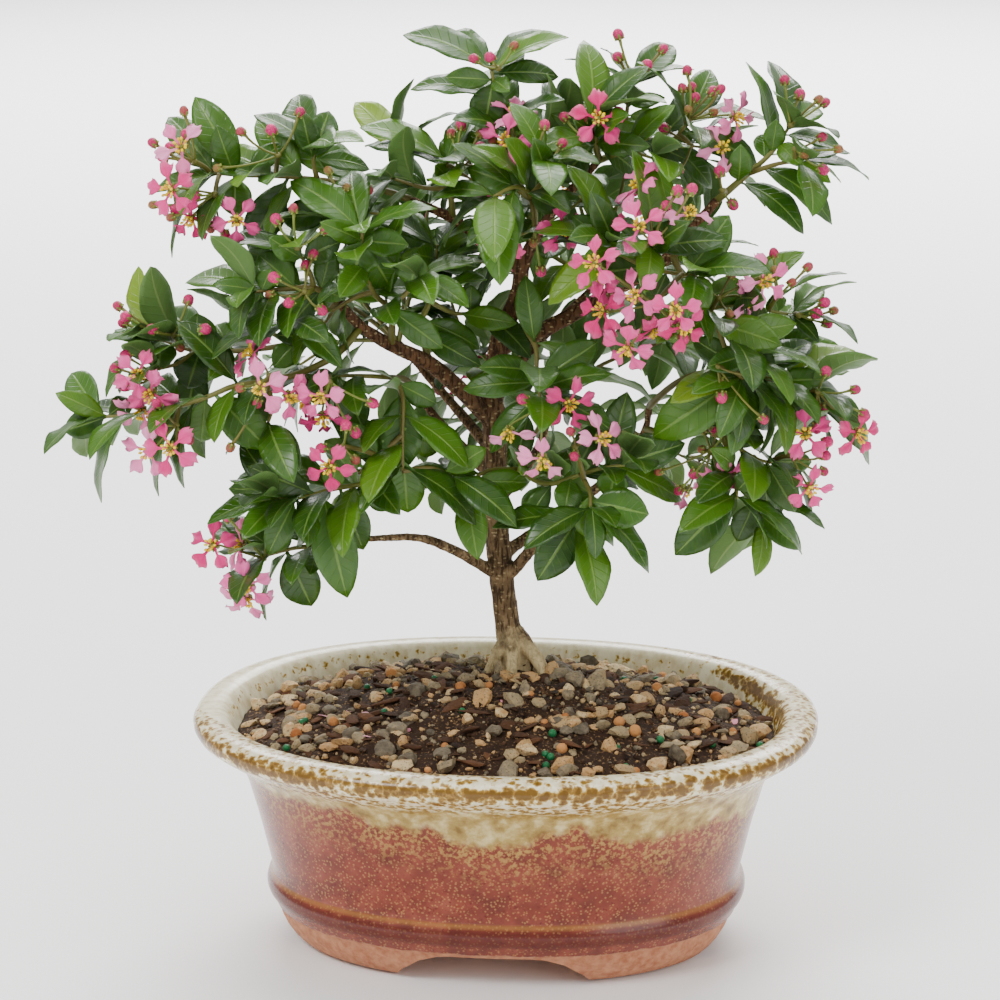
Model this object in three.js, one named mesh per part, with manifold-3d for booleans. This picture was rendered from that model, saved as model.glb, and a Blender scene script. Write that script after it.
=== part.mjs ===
// Barbados cherry bonsai (Malpighia) in an oval glazed tray.
// Units are millimetres, +Z is up, and the pot's long side lies along X.
// The tree's points are written as they show from the front: [x, z, y], with x and z read on the upright
// plane through the pot's centre and y the depth behind it. front() moves such a point to its own depth.
import * as THREE from "three";
import Module from "manifold-3d";

const wasm = await Module();
wasm.setup();

// Driving dimensions of the pot
const POT_HALF_LENGTH = 101.5;
const POT_HALF_DEPTH = 80;
const POT_SQUARENESS = 2.22;
const POT_SIDES = 24;
const RIM_TOP = 78.2;
const WAIST_HALF_LENGTH = 77;
const FOOT_HEIGHT = 11;
const FLOOR_TOP = 17;
const DRAIN_RADIUS = 7;
const DRAIN_X = 38;
const GAP = 0.3;

// Where and how far the trunk's foot widens into the soil
const FLARE_TOP = 106;
const FLARE_HEIGHT = 22;
const FLARE_LEAST = 0.35;
const FLARE_LOBE = 0.75;

// Driving dimensions of the soil and the tree
const SOIL_MOUND = 88;
const SOIL_EDGE = 70.5;
const TREE_YAW = THREE.MathUtils.degToRad(5.2);
const EYE_X = -1.9;
const EYE_DISTANCE = 932.5;
const EYE_HEIGHT = 378.9;
const LEAF_LENGTH = 27;
const LEAF_WIDTH_SHARE = 0.42;
const LEAF_THICKNESS = 0.95;
const BUD_RADIUS = 1.75;
const BLOOM_RADIUS = 9;
const PETALS = 5;
const PETAL_HALF_ANGLE = 0.43;
const CLAW_SHARE = 0.24;
const CALYX_RADIUS = 0.8;
const CALYX_DEPTH = 1.4;
const STALK_RADIUS = 0.42;
const LEAF_CLEARANCE = 3.0;
const SEED = 7;

// Wood of the trunk's node: start radius, end radius and points [x, z, y]
const LIMBS = [
  [4.3, 3.9, [[2.6, 96, 12], [0.6, 104, 12], [-0.4, 112, 12], [-1.4, 121, 12], [-2.4, 131, 12],
    [-3.4, 142, 12], [-3.6, 152, 12], [-3.4, 162, 12], [-3.6, 172, 12]]],
  [3.9, 2.5, [[-3.6, 170, 12], [-4, 180, 12], [-3.4, 190, 12], [-1.6, 200, 11], [2.6, 208, 10],
    [4.2, 216, 9], [5, 223, 8]]],
  [3.3, 1.5, [[-4, 172, 12], [-9, 177, 9], [-20, 188.5, 2], [-30, 193.5, -3], [-40, 199, -8],
    [-47, 204, -11], [-53, 211, -14]]],
  [2.2, 1.4, [[4.6, 221, 8], [-2, 226, 8], [-10, 232.5, 7], [-20, 239, 6], [-30, 243.3, 4]]],
  [2.4, 1.3, [[4.8, 221, 8], [7, 227, 7], [11, 234, 6], [19, 245, 4], [29, 255.5, 2]]],
  [2.9, 1.5, [[-2, 196, 12], [14, 203, 10], [30, 212, 7], [42, 219, 4], [52, 226, 1], [60, 236, -1],
    [66, 243, -2]]],
  [2.2, 1.2, [[-2, 121, 12], [-8, 125, 7], [-15, 129, 2], [-20, 131, -2], [-31, 134.5, -8],
    [-45, 133.6, -13]]],
  [2.3, 1.3, [[0, 121, 12], [4, 125, 8], [12, 135, 1], [20, 142.5, -5], [26, 148, -9]]],
  [2.0, 1.2, [[-3, 152, 12], [-13, 163, 16], [-22, 173, 14], [-28, 181, 10]]],
  [2.2, 1.2, [[-2, 128, 12], [14, 139, 22], [32, 153, 26], [43, 166, 24], [45.5, 177, 20]]],
  [2.2, 1.2, [[-3, 160, 12], [-12, 172, 26], [-24, 186, 40], [-34, 198, 50]]],
  [2.2, 1.2, [[-2, 184, 12], [8, 196, 26], [20, 208, 40], [30, 218, 50]]],
  [2.0, 1.2, [[-3, 146, 12], [6, 156, 28], [12, 168, 42], [14, 178, 52]]],
];

// Leafy sprays: name, then stems [bare share, leaf scale, points]; the first stem springs from the wood
// and the others from the first. Then leaves seen from the front: [base x, base z, tip x, tip z, width].
const SPRAYS = [
  ["spray_upper_left", [
    [0.1, 1, [[-28, 242.5, 5], [-40, 246.5, 3], [-52, 248.5, 0], [-66, 250.3, -3], [-80, 250.6, -6],
      [-92, 251.5, -8]]],
    [0.3, 0.9, [[-61, 249.8, -2], [-60, 254, -2], [-60, 259, -3]]],
    [0.4, 0.9, [[-50, 248.3, 0], [-52, 243, -8], [-56, 236, -14]]],
    [0.3, 0.9, [[-40, 246.5, 3], [-36, 252, 10], [-32, 258, 16]]],
  ], [
    [-86.3, 251, -90, 266, 9], [-78, 252, -93, 254, 6], [-85.4, 250, -85, 238, 11],
      [-68, 249, -81, 227, 12],
    [-59.7, 258, -55, 271, 11], [-60.6, 258, -63.6, 271, 8], [-60.7, 256.8, -42, 253.4, 7],
      [-91, 251, -112, 246, 6],
    [-54, 236, -70.6, 237.4, 10], [-80, 251, -70, 261, 7], [-50, 248, -57, 240, 8],
  ]],
  ["spray_upper_mid", [
    [0.3, 1, [[-14, 235, 7], [-17, 243, 4], [-18, 250, 2], [-18.5, 256, 0]]],
    [0.2, 0.9, [[-17, 243, 4], [-26, 247, 0], [-36, 250, -3]]],
  ], [
    [-19, 256, -41, 260.8, 6], [-20, 246, -2, 244, 7], [-24, 247, -40, 251, 6], [-17, 250, -22, 254, 6],
    [-18, 244, -4, 248, 8],
  ]],
  ["spray_left_top", [
    [0.15, 1, [[-51, 209, -13], [-58, 214.5, -17], [-66, 216, -20], [-74, 214, -23], [-80, 214, -25]]],
    [0.3, 0.9, [[-58, 214.5, -17], [-62, 221, -20], [-66, 228, -22]]],
    [0.3, 0.9, [[-64, 215.5, -19], [-67, 209, -24], [-68, 204, -28]]],
  ], [
    [-79, 214.9, -92.3, 216.4, 6], [-58.6, 216, -54.7, 227.6, 8], [-60, 213, -68.5, 202.4, 9],
      [-66, 216, -78, 226, 11],
    [-80, 214, -80, 207, 8], [-58, 214, -51, 212, 6], [-64, 224, -52, 230, 9], [-66, 227, -74, 231, 8],
    [-76, 214, -74, 221, 7],
  ]],
  ["spray_left_bright", [
    [0.2, 1, [[-38, 199, -8], [-36, 204, -14], [-37, 209, -18], [-42, 214, -22], [-45, 224, -26],
      [-45, 234, -28]]],
    [0.2, 0.9, [[-37, 209, -18], [-31, 214, -22], [-27, 219, -25]]],
    [0.2, 0.9, [[-41, 213, -21], [-48, 212, -18], [-56, 207, -16]]],
  ], [
    [-44, 235.8, -47.6, 219.6, 13], [-40, 234, -36, 215, 10], [-38, 235, -31, 229, 9],
      [-32, 215, -28, 226, 10],
    [-36, 212, -54, 219, 8], [-38, 209, -20, 196, 9], [-46, 214, -22, 214, 7], [-43, 234, -58, 236, 7],
    [-45, 222, -52, 213, 9],
  ]],
  ["spray_left_inner", [
    [0.25, 1, [[-29, 193, -3], [-27, 203, 0], [-24, 211, 3], [-23, 218, 5], [-21.5, 229, 6]]],
    [0.3, 0.9, [[-25.5, 207, 2], [-16, 207, 6], [-8, 208, 10]]],
  ], [
    [-24.9, 200.8, -8.3, 190.5, 9], [-21, 222, -33, 225, 7], [-21, 223, -9, 222, 7],
      [-13, 206, 3, 204, 8],
    [-21.5, 228, -29, 226, 8], [-21, 229, -8, 233, 7], [-25, 206, -8, 196, 8], [-12, 208, -11, 216, 7],
  ]],
  ["spray_left_far", [
    [0.35, 1, [[-50, 207, -12], [-62, 200, -11], [-73, 196.5, -10], [-94, 194.5, -10],
      [-104, 197, -10], [-111, 199, -10]]],
    [0.2, 0.9, [[-96, 195, -10], [-104, 191, -14], [-111, 189, -17]]],
    [0.2, 0.9, [[-70, 197, -10], [-76, 202, -4], [-83, 204, 0]]],
  ], [
    [-111, 199, -126, 199.5, 5], [-111, 199, -119, 194, 7], [-110, 198, -110, 189, 11],
      [-108, 201, -117, 212, 10],
    [-98, 199, -97.5, 207, 12], [-98.5, 196, -101, 183, 13], [-84, 198, -92, 204, 8],
      [-70, 203, -86, 201, 6],
    [-64.7, 197, -73.6, 189.8, 8], [-64.4, 198.2, -72.6, 200.1, 7], [-62.5, 198.2, -53.7, 194.3, 8],
    [-94.7, 193, -102.4, 167, 12], [-86, 195, -94, 186, 7],
  ]],
  ["spray_left_low", [
    [0.3, 1, [[-46, 203.5, -11], [-56, 192, -18], [-72, 186, -22], [-85, 184, -24], [-93, 181, -25],
      [-104, 177, -24], [-119, 174.5, -22], [-130, 173.5, -20]]],
    [0.3, 0.9, [[-73, 186, -22], [-74, 178, -26], [-76, 171, -28]]],
  ], [
    [-90.9, 180.5, -75.9, 163.5, 13], [-95, 179, -97, 165.4, 11], [-130.5, 174, -142.8, 181.4, 7],
    [-130.6, 174.3, -140.8, 169, 9], [-131, 174, -119, 179.5, 7], [-118, 175, -133, 178, 6],
      [-84, 183, -76, 172, 9],
    [-66, 187, -56, 178, 9],
  ]],
  ["spray_mid_low", [
    [0.25, 1, [[-26, 178, 11], [-32, 186, 4], [-36, 186, -8], [-33, 183, -18], [-33, 170, -24],
      [-33, 156, -27]]],
    [0.3, 0.9, [[-35, 186, -5], [-46, 187, -14], [-56, 187, -20]]],
    [0.3, 0.9, [[-33, 166, -25], [-42, 160, -22], [-47, 155, -20]]],
    [0.3, 0.9, [[-33, 160, -26], [-24, 157, -22], [-17, 154, -18]]],
  ], [
    [-32.7, 181.8, -33.2, 156, 13.6], [-33.2, 155, -31.4, 142, 12], [-44.2, 155, -34.3, 142, 9],
    [-15, 152, -27, 153.3, 8], [-19.5, 155.6, -6.4, 163.5, 8], [-53.3, 186.9, -45.5, 170, 11],
    [-36, 184, -22, 178, 8], [-33, 172, -20, 163, 10], [-46, 157, -58, 166, 9], [-40, 162, -52, 171, 9],
    [-55, 187, -63, 183, 8],
  ]],
  ["spray_low_left", [
    [0.4, 1, [[-3, 148, 12], [-20, 150, 0], [-36, 153, -16], [-47, 151.5, -24], [-58, 149.5, -28],
      [-66, 147, -29], [-73, 147, -30]]],
  ], [
    [-58.3, 148.4, -51.3, 113.8, 14], [-54, 149, -45.8, 129.7, 11], [-67.6, 147.1, -76.6, 128.1, 9],
    [-66.7, 146, -63.2, 131.4, 5], [-61.4, 150, -89, 150.3, 11], [-60.6, 150, -82.4, 157.5, 10],
    [-72, 147, -96, 139.1, 6], [-70.2, 147, -84.7, 133.8, 8], [-48, 151.5, -36, 144, 8],
      [-57, 149.5, -54, 158, 7],
  ]],
  ["spray_low_left_tip", [
    [0.3, 1, [[-43, 133.8, -12.5], [-54, 132, -16], [-62, 130.5, -18], [-70, 130.5, -20],
      [-77, 128, -21]]],
  ], [
    [-69.8, 130.7, -62.7, 110.8, 13], [-76, 129, -91, 141, 8], [-62, 130.5, -63, 122, 7],
      [-66, 130.5, -58, 139, 5],
    [-74, 129, -70, 137, 6],
  ]],
  ["spray_apex", [
    [0.3, 1, [[13, 237, 6], [6, 244, 4], [4, 252, 2], [2, 261, 0], [-1, 270, -2], [-4, 280, -3],
      [-4.5, 284, -3]]],
    [0.2, 0.9, [[3.5, 254, 2], [10, 260, 6], [16, 265, 8]]],
    [0.2, 0.9, [[4, 250, 2], [-4, 252, 8], [-12, 254, 12]]],
  ], [
    [-5.3, 279.2, -18.6, 281.3, 7], [-5.6, 279, -6.6, 265.5, 12], [-3.5, 284, 16.3, 281.6, 8],
      [-4, 280, 1, 277, 6],
    [0, 266, -16, 269, 6], [1, 265, 8, 270, 6], [3, 258, -10, 261, 6], [8, 259, 19, 266, 8],
    [4, 256, 6, 264, 7], [-2, 273, -6, 264, 6],
  ]],
  ["spray_top_front", [
    [0.3, 1, [[10, 233, 6], [9, 240, -8], [6, 246, -18], [2, 247, -24], [-4, 244, -27]]],
    [0.3, 0.9, [[8, 242, -12], [12, 250, -20], [12, 256, -25]]],
  ], [
    [6, 247, -12, 253, 10], [6, 247, -10, 260, 5], [7, 247, 1, 262, 6], [11, 246, 9, 262, 7],
      [12, 246, 17, 256, 9],
    [8, 245, 17, 240, 7], [4, 238, 1, 231, 8], [9, 238, 5, 231, 7], [12, 244, 27, 242, 6],
  ]],
  ["spray_top_mid", [
    [0.25, 1, [[28, 254.5, 2], [28, 260, -4], [27, 264, -8], [26, 268, -10]]],
    [0.2, 0.9, [[28, 258, -2], [38, 258, -10], [46, 256, -14]]],
    [0.2, 0.9, [[28, 258, -2], [18, 258, 4], [12, 262, 8]]],
  ], [
    [28, 262, 32, 273, 9], [27, 264, 14, 270, 6], [28, 261, 44, 266, 8], [29, 259, 44, 260, 8],
      [30, 258, 43, 250, 9],
    [27, 258, 12, 257, 8], [27, 257, 16, 249, 10], [28, 263, 37, 270, 7], [27, 258, 22, 268, 7],
  ]],
  ["spray_top_right", [
    [0.35, 1, [[28.5, 254, 2], [38, 259, 8], [44, 262, 10], [52, 262, 8], [56, 267, 5]]],
    [0.3, 0.9, [[35, 258, 7], [37, 266, 8], [38, 273, 8], [39, 279, 7]]],
    [0.3, 0.9, [[46, 262, 10], [54, 257, 14], [62, 256, 18]]],
  ], [
    [37.5, 272, 24.4, 281, 8], [57, 267, 78.7, 254.6, 10], [38, 270, 50, 268, 6], [44, 262, 56, 256, 8],
    [38, 272, 49, 275, 5], [52, 262, 58, 264, 6], [50, 262, 65, 247, 8], [44, 262, 32, 266, 6],
  ]],
  ["spray_right_tip", [
    [0.35, 1, [[64.5, 241, -2], [72, 250, -2], [77, 252, -3], [81, 256.5, -3], [86, 261, -4],
      [88, 266, -4]]],
    [0.3, 0.9, [[79, 254.5, -3], [85, 254.5, -8], [92, 255, -12]]],
  ], [
    [79, 252.5, 102.7, 236.1, 9], [69, 245, 94, 233.6, 8], [86.8, 261.1, 105, 258.7, 6],
      [90, 255.2, 101.6, 248.7, 5],
    [72, 250, 73, 260, 8], [73, 250, 68, 260, 7], [80, 256, 80, 264, 7], [84, 259, 84, 268, 7],
      [85, 260, 92, 254, 7],
  ]],
  ["spray_right_front", [
    [0.35, 1, [[41, 218.5, 4], [44, 219, -12], [46, 224, -24], [45, 229, -32]]],
    [0.2, 0.9, [[44.5, 220, -16], [52, 220, -26], [60, 219, -32]]],
    [0.2, 0.9, [[44.5, 220, -16], [36, 226, -24], [31, 230, -30]]],
  ], [
    [46.9, 228.2, 69.6, 230.7, 9], [47.7, 220.6, 28.9, 220.3, 11], [74, 221, 57, 218.7, 8],
      [63, 224, 69.9, 238.3, 12],
    [34, 228, 21, 238, 9], [35, 227, 27, 245, 9], [33, 229, 20, 231, 7], [60, 219, 83, 221, 8],
      [46, 226, 56, 236, 8],
    [60, 219, 64, 209, 9], [52, 220, 47, 212, 7],
  ]],
  ["spray_right_mid", [
    [0.3, 1, [[54, 228, 0], [57, 216, -14], [62, 208, -22], [67, 203, -26], [73, 196, -28],
      [78, 193, -28]]],
    [0.2, 0.9, [[60, 211, -19], [72, 210, -14], [83, 208, -10], [91, 206.5, -8]]],
    [0.2, 0.9, [[68, 202, -26], [72, 191, -26], [82, 186, -24]]],
  ], [
    [66, 204, 87, 197, 11], [80, 200, 85, 189, 9], [88, 206, 99, 198, 5], [76, 194, 64, 190, 8],
    [70, 200, 92, 204, 9], [60, 212, 76, 216, 9], [86, 207, 84, 213, 7], [73, 210, 80, 212, 8],
    [72, 190, 59, 199, 8], [64, 206, 52, 198, 9],
  ]],
  ["spray_right_low", [
    [0.35, 1, [[45.5, 176, 20], [53, 184, 8], [62, 188, -2], [76, 188, -10], [86, 185, -14],
      [97, 182, -16]]],
    [0.25, 0.9, [[60, 187.5, 0], [68, 193, 4], [78, 196, 8], [88, 195, 10]]],
    [0.3, 0.9, [[74, 188, -9], [73, 187, -22], [75, 186.5, -32]]],
  ], [
    [84.8, 184, 98.2, 168, 10], [82.3, 185.6, 83.9, 169, 12], [97, 180, 116.7, 158.5, 9],
      [96.8, 181.8, 114.3, 171.7, 7],
    [85.8, 195, 109.5, 191.7, 9], [74.6, 186.3, 46.9, 167, 15], [84, 186, 101, 186, 8],
      [86, 196, 98, 200, 9],
    [90, 184, 96, 176, 8], [76, 196, 84, 206, 9], [64, 188, 56, 178, 9],
  ]],
  ["spray_right_under", [
    [0.3, 1, [[43.5, 166, 24], [54, 168, 8], [65, 171, -6], [72, 165, -12], [80, 160, -16],
      [84, 159, -17]]],
    [0.3, 0.9, [[71, 166, -11], [73, 156, -20], [74, 147, -26]]],
    [0.3, 0.9, [[80, 160, -16], [79, 150, -12], [82, 138.5, -10]]],
  ], [
    [73, 146, 54.4, 128, 13], [79.2, 145, 74.3, 132.7, 9], [83.1, 138.7, 94.9, 130, 8],
      [81.6, 159.2, 84.2, 140.7, 9],
    [84, 160, 92.8, 142.4, 10], [81, 139, 90, 138, 7], [74, 164, 81, 146, 10], [65, 171, 78, 174, 7],
    [84, 161, 98, 159, 8], [73, 150, 79, 155, 8], [68, 169, 82, 167, 9], [74, 158, 66, 163, 7],
  ]],
  ["spray_centre_hang", [
    [0.25, 1, [[3, 206, 10], [6, 203, 0], [9.5, 196, -10], [9.8, 187, -16], [11, 179, -20]]],
  ], [
    [9.2, 186, -13.6, 183, 9], [9.2, 189, -8, 190, 8], [9.7, 199, 6, 219, 9], [11, 180, -1, 177, 8],
    [12, 184.5, 29, 198, 11], [12, 179, 22, 175, 6], [11, 180, 33, 188, 8],
  ]],
  ["spray_centre_low", [
    [0.15, 1, [[-3, 153.5, 8], [4, 156.5, 0], [10, 152.5, -8], [16, 152, -14], [24, 155, -18],
      [31, 157, -20], [38, 158, -22]]],
    [0.3, 0.9, [[1, 156, 3], [-6, 156, -6], [-13, 151, -10]]],
    [0.3, 0.9, [[25, 155.3, -18.5], [27, 149, -26], [27, 143, -30]]],
  ], [
    [37.3, 158.5, 57.1, 165.1, 10], [33.1, 160, 38.5, 181.8, 11], [39.6, 156.6, 56.7, 146.4, 9],
      [29, 145, 45.6, 141.8, 13],
    [25.6, 149.7, 29.3, 132.8, 13], [22, 154.6, 18.9, 142.4, 9], [34, 158, 33, 147, 10],
      [15.1, 151, 6.2, 139, 7],
    [11.2, 152.3, 5.8, 141.7, 7], [-10, 151.5, 7.7, 152.3, 8], [19, 153.5, 31, 172, 11],
      [3, 156, 7, 174, 8],
    [27, 143, 29, 127, 7],
  ]],
  ["spray_low_right", [
    [0.35, 1, [[23, 145.5, -7], [25, 144, -12], [24, 141.5, -18], [22, 139.7, -22]]],
  ], [
    [22.2, 139.7, 10.3, 119.7, 13],
  ]],
  ["spray_back_left", [
    [0.15, 1, [[-32, 196, 48], [-44, 206, 54], [-56, 214, 58]]],
    [0.1, 1, [[-34, 198, 50], [-32, 212, 62], [-34, 226, 68], [-32, 240, 66]]],
    [0.1, 1, [[-36, 200, 51], [-52, 198, 62], [-66, 190, 66]]],
    [0.1, 1, [[-34, 198, 50], [-26, 188, 66], [-18, 180, 78]]],
    [0.1, 1, [[-33, 197, 49], [-30, 214, 42], [-26, 230, 34], [-24, 242, 28]]],
    [0.1, 1, [[-36, 200, 51], [-46, 212, 40], [-54, 222, 30]]],
  ], []],
  ["spray_back_right", [
    [0.15, 1, [[28, 216.5, 48], [42, 222, 58], [58, 226, 62]]],
    [0.1, 1, [[30, 217, 50], [26, 232, 60], [22, 246, 60], [22, 258, 54]]],
    [0.1, 1, [[31, 217, 50], [44, 208, 64], [58, 200, 70], [72, 196, 66]]],
    [0.1, 1, [[29, 216, 49], [14, 214, 66], [2, 220, 78]]],
    [0.1, 1, [[29, 217, 49], [32, 232, 40], [36, 246, 32], [38, 256, 26]]],
    [0.1, 1, [[29, 216, 48], [14, 226, 42], [6, 240, 36], [4, 252, 28]]],
    [0.1, 1, [[31, 217, 50], [48, 222, 40], [60, 226, 30]]],
  ], []],
  ["spray_back_low", [
    [0.15, 1, [[13, 174, 48], [16, 182, 58], [20, 190, 66]]],
    [0.1, 1, [[14, 177, 51], [2, 178, 64], [-10, 172, 74]]],
    [0.1, 1, [[14, 177, 51], [30, 174, 62], [46, 166, 66], [58, 160, 62]]],
    [0.1, 1, [[14, 176, 50], [8, 166, 60], [2, 156, 64]]],
    [0.1, 1, [[14, 177, 50], [26, 188, 40], [38, 194, 34], [50, 198, 30]]],
    [0.1, 1, [[13, 175, 49], [-4, 190, 44], [-14, 202, 38], [-18, 214, 34]]],
  ], []],
];

// Flower clusters: name, root [x, z, y] on a stem, hub [x, z, y], open blooms [x, z] and buds [x, z]
const CLUSTERS = [
  ["flowers_upper_left", [-91, 251.5, -8], [-97, 255, -12], [[-101, 259.5]],
    [[-100, 271], [-99.5, 263.5], [-110, 261], [-104.5, 259.5], [-107, 256.5]]],
  ["flowers_upper_left", [-88, 251, -7], [-91, 245, -16], [[-104, 247], [-98.5, 237.5], [-84, 237.5]],
    [[-97.5, 244.5], [-110.5, 241.5], [-105, 237.5], [-92.5, 234], [-88, 232]]],
  ["flowers_upper_left_top", [-70, 250.5, -4], [-71, 257, -12], [],
    [[-82.5, 264.5], [-73, 265], [-64, 270.5], [-90, 253]]],
  ["flowers_upper_left_under", [-52, 243, -8], [-50.5, 241.5, -18], [],
    [[-55.5, 252.3], [-49.8, 247], [-43, 246], [-37.5, 238.5]]],
  ["flowers_left_top", [-64, 226, -21], [-65.5, 228, -29], [], [[-66.5, 240.5], [-72, 237],
    [-56.5, 234]]],
  ["flowers_left_top", [-63, 215.5, -19], [-63.5, 214, -30], [],
    [[-63, 222.5], [-60.5, 226], [-73, 218.5], [-74.5, 213], [-68.5, 210.5], [-58, 208]]],
  ["flowers_left_far", [-104, 197, -10], [-105, 200, -19], [],
    [[-122.5, 209.5], [-120, 206], [-121, 204], [-112, 202], [-103, 196], [-100, 211.5], [-95, 202]]],
  ["flowers_left_far", [-110, 189.5, -16], [-111, 187, -25], [[-112, 182.5], [-115.5, 189.5],
    [-116, 176]],
    [[-120.5, 193.5], [-124, 189.5], [-117.5, 185.5], [-121, 183.5]]],
  ["flowers_left_low", [-104, 177, -24], [-105, 171, -32], [[-114, 162.5], [-106, 165.5]],
    [[-110, 171.5], [-101, 166], [-111, 178]]],
  ["flowers_left_mid", [-84, 184, -24], [-75, 187, -36], [[-77.5, 185], [-69, 180.5], [-81, 192]],
    [[-84.5, 183], [-88, 163.5], [-79, 178]]],
  ["flowers_left_mid", [-54, 187, -19], [-56, 185, -34], [[-58, 182], [-58.5, 173], [-64, 177]],
    [[-42.3, 178], [-48, 168.5]]],
  ["flowers_left_front", [-44, 156, -21], [-52, 164, -36], [[-56.3, 157.5]], [[-59, 163.5],
    [-48, 159.5], [-51, 171]]],
  ["flowers_low_left", [-76, 128, -21], [-78, 127, -27], [[-94, 131.5], [-85.5, 130.5], [-83, 119.5],
    [-84, 112.5]],
    [[-89.5, 141], [-89, 120.5], [-78, 142.5]]],
  ["flowers_apex", [-3, 281, -3], [-2.5, 284, -8], [], [[2.5, 291], [-5, 287.5], [-10, 287]]],
  ["flowers_top_left", [-17, 250, 2], [-15.5, 252.5, -8], [[-4.5, 246]],
    [[-17, 264], [-12, 258.5], [-8, 264], [-14, 266.5], [-8, 259.5]]],
  ["flowers_top_mid", [4, 253, 2], [6, 253, -12], [[0, 261.5], [2.5, 268.5]], [[-4, 261.5]]],
  ["flowers_top_mid", [11, 249, -19], [9.5, 251.5, -26], [], [[12, 266.5], [17.5, 260.8]]],
  ["flowers_top_centre", [27, 264, -8], [24.5, 262.5, -15], [[28.5, 269]], [[18, 269], [24, 268.5]]],
  ["flowers_top_spray", [39, 278.5, 7], [39.5, 280, 2], [], [[34.5, 294.5], [34.5, 287.5],
    [43.5, 285], [48.5, 290]]],
  ["flowers_top_right", [55.5, 266.5, 5], [56.5, 268, 0], [[71, 269]],
    [[56, 283.5], [54.5, 278], [57.5, 278.3], [58.7, 275], [64, 277], [66.5, 277.7], [56.5, 271.3],
      [64.5, 270.5]]],
  ["flowers_top_right", [55, 257, 14], [57.5, 260, 4], [[67, 260]], [[49, 265.5], [48, 260.3],
    [52, 260.3], [53.5, 252]]],
  ["flowers_right_tip", [87.8, 265, -4], [88.5, 266.5, -9], [], [[86.3, 280.5], [91, 276],
    [97, 274.5], [99, 273.5]]],
  ["flowers_right_tip", [85, 260, -4], [90, 259, -14], [], [[98.3, 262.8], [93, 257.2], [103.5, 259],
    [99, 252.5]]],
  ["flowers_right_upper", [45.5, 227, -30], [46, 229.5, -39], [[41.5, 235.5], [57, 238.5], [42, 246]],
    [[52, 230.5], [53.5, 246], [58, 246.5], [50, 241.2]]],
  ["flowers_right_limb", [68, 245.5, -2], [67.5, 246, -9], [], [[66.5, 252], [71, 241.5]]],
  ["flowers_centre_top", [9.5, 238, -12], [9, 234, -20], [[17, 234.5], [-2, 228]], [[8.5, 229.5],
    [11, 220.5], [25, 244]]],
  ["flowers_right_front", [51, 220, -25], [47, 210, -44],
    [[28, 223], [41, 213], [31, 206.5], [47.5, 200.8], [55.5, 203.5], [38.5, 197], [32, 216],
      [53, 210]], [[56, 199]]],
  ["flowers_right_front", [66, 211, -17], [67, 212, -28], [[81, 217.5], [76, 210.5]], [[63, 216.7],
    [71, 220], [70.5, 207]]],
  ["flowers_right_far", [84, 208, -10], [86, 213, -16], [], [[95, 222], [90, 217], [84, 226.5],
    [84.5, 221]]],
  ["flowers_right_far", [91, 206.5, -8], [92.5, 206.5, -13], [], [[100.5, 210.5], [103.5, 208],
    [101.5, 203.8], [98, 207]]],
  ["flowers_centre", [10.8, 180, -19], [12, 177, -29], [[1, 169], [11.5, 161], [20, 178]],
    [[5.3, 179.3], [15, 173]]],
  ["flowers_centre", [16.5, 152.5, -14], [22, 164, -32], [[30, 167.5]], [[20.5, 169], [21.8, 160.8]]],
  ["flowers_right_low_a", [72, 191, -26], [67, 190, -38], [], [[68, 185], [68.5, 180], [79, 187],
    [82, 172.8]]],
  ["flowers_right_low_b", [66, 170.5, -7], [65.5, 163, -22], [[69, 154.5]],
    [[48.8, 155.8], [55.3, 149.5], [60, 155], [62, 148.5], [62.5, 163], [63, 169.5], [67, 168.8],
      [70.5, 172]]],
  ["flowers_right_low_c", [84, 159.5, -17], [91, 161, -24], [[97, 150.5], [95.5, 168]],
    [[101.5, 155.8], [102, 161], [102.5, 165.5]]],
  ["flowers_right_outer", [96.5, 182.3, -16], [99, 182, -24], [[112, 168.5]],
    [[111, 182.5], [114, 174.8], [100.5, 176.5], [101.5, 188.5], [99, 170]]],
  ["flowers_centre_back", [-8, 172.5, 73], [-9, 180, 82], [[-16, 184], [-4, 190]], [[-12, 194],
    [-2, 178]]],
  ["flowers_back_left", [-34, 226, 67], [-36, 228, 76], [[-44, 236], [-30, 240]], [[-40, 222],
    [-28, 230], [-36, 244]]],
  ["flowers_back_right", [26, 232, 60], [28, 234, 70], [[36, 242], [20, 246]], [[30, 228], [18, 236],
    [40, 234]]],
  ["flowers_back_low", [57, 160.5, 62], [62, 160, 70], [[70, 166], [58, 150]], [[72, 156], [64, 172]]],
];

// Seeded draws between 0 and 1
function draws(seed) {
  let state = seed >>> 0;
  return () => {
    state = (state + 0x6d2b79f5) >>> 0;
    let t = state;
    t = Math.imul(t ^ (t >>> 15), t | 1);
    t ^= t + Math.imul(t ^ (t >>> 7), t | 61);
    return ((t ^ (t >>> 14)) >>> 0) / 4294967296;
  };
}

// A point seen at x, z on the front plane, moved along the line of sight to depth y
function front(x, z, y) {
  const scale = 1 + y / EYE_DISTANCE;
  return new THREE.Vector3(EYE_X + (x - EYE_X) * scale, y, EYE_HEIGHT + (z - EYE_HEIGHT) * scale);
}

// Smooth path through points, sampled every few millimetres
function pathThrough(points, step) {
  let length = 0;
  for (let i = 1; i < points.length; i++) length += points[i].distanceTo(points[i - 1]);
  const curve = new THREE.CatmullRomCurve3(points, false, "catmullrom", 0.5);
  const count = Math.max(2, Math.ceil(length / step));
  return Array.from({ length: count + 1 }, (_, i) => curve.getPoint(i / count));
}

function solidFrom(vertices, triangles) {
  const mesh = new wasm.Mesh({
    numProp: 3,
    vertProperties: new Float32Array(vertices),
    triVerts: new Uint32Array(triangles),
  });
  return new wasm.Manifold(mesh);
}

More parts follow.
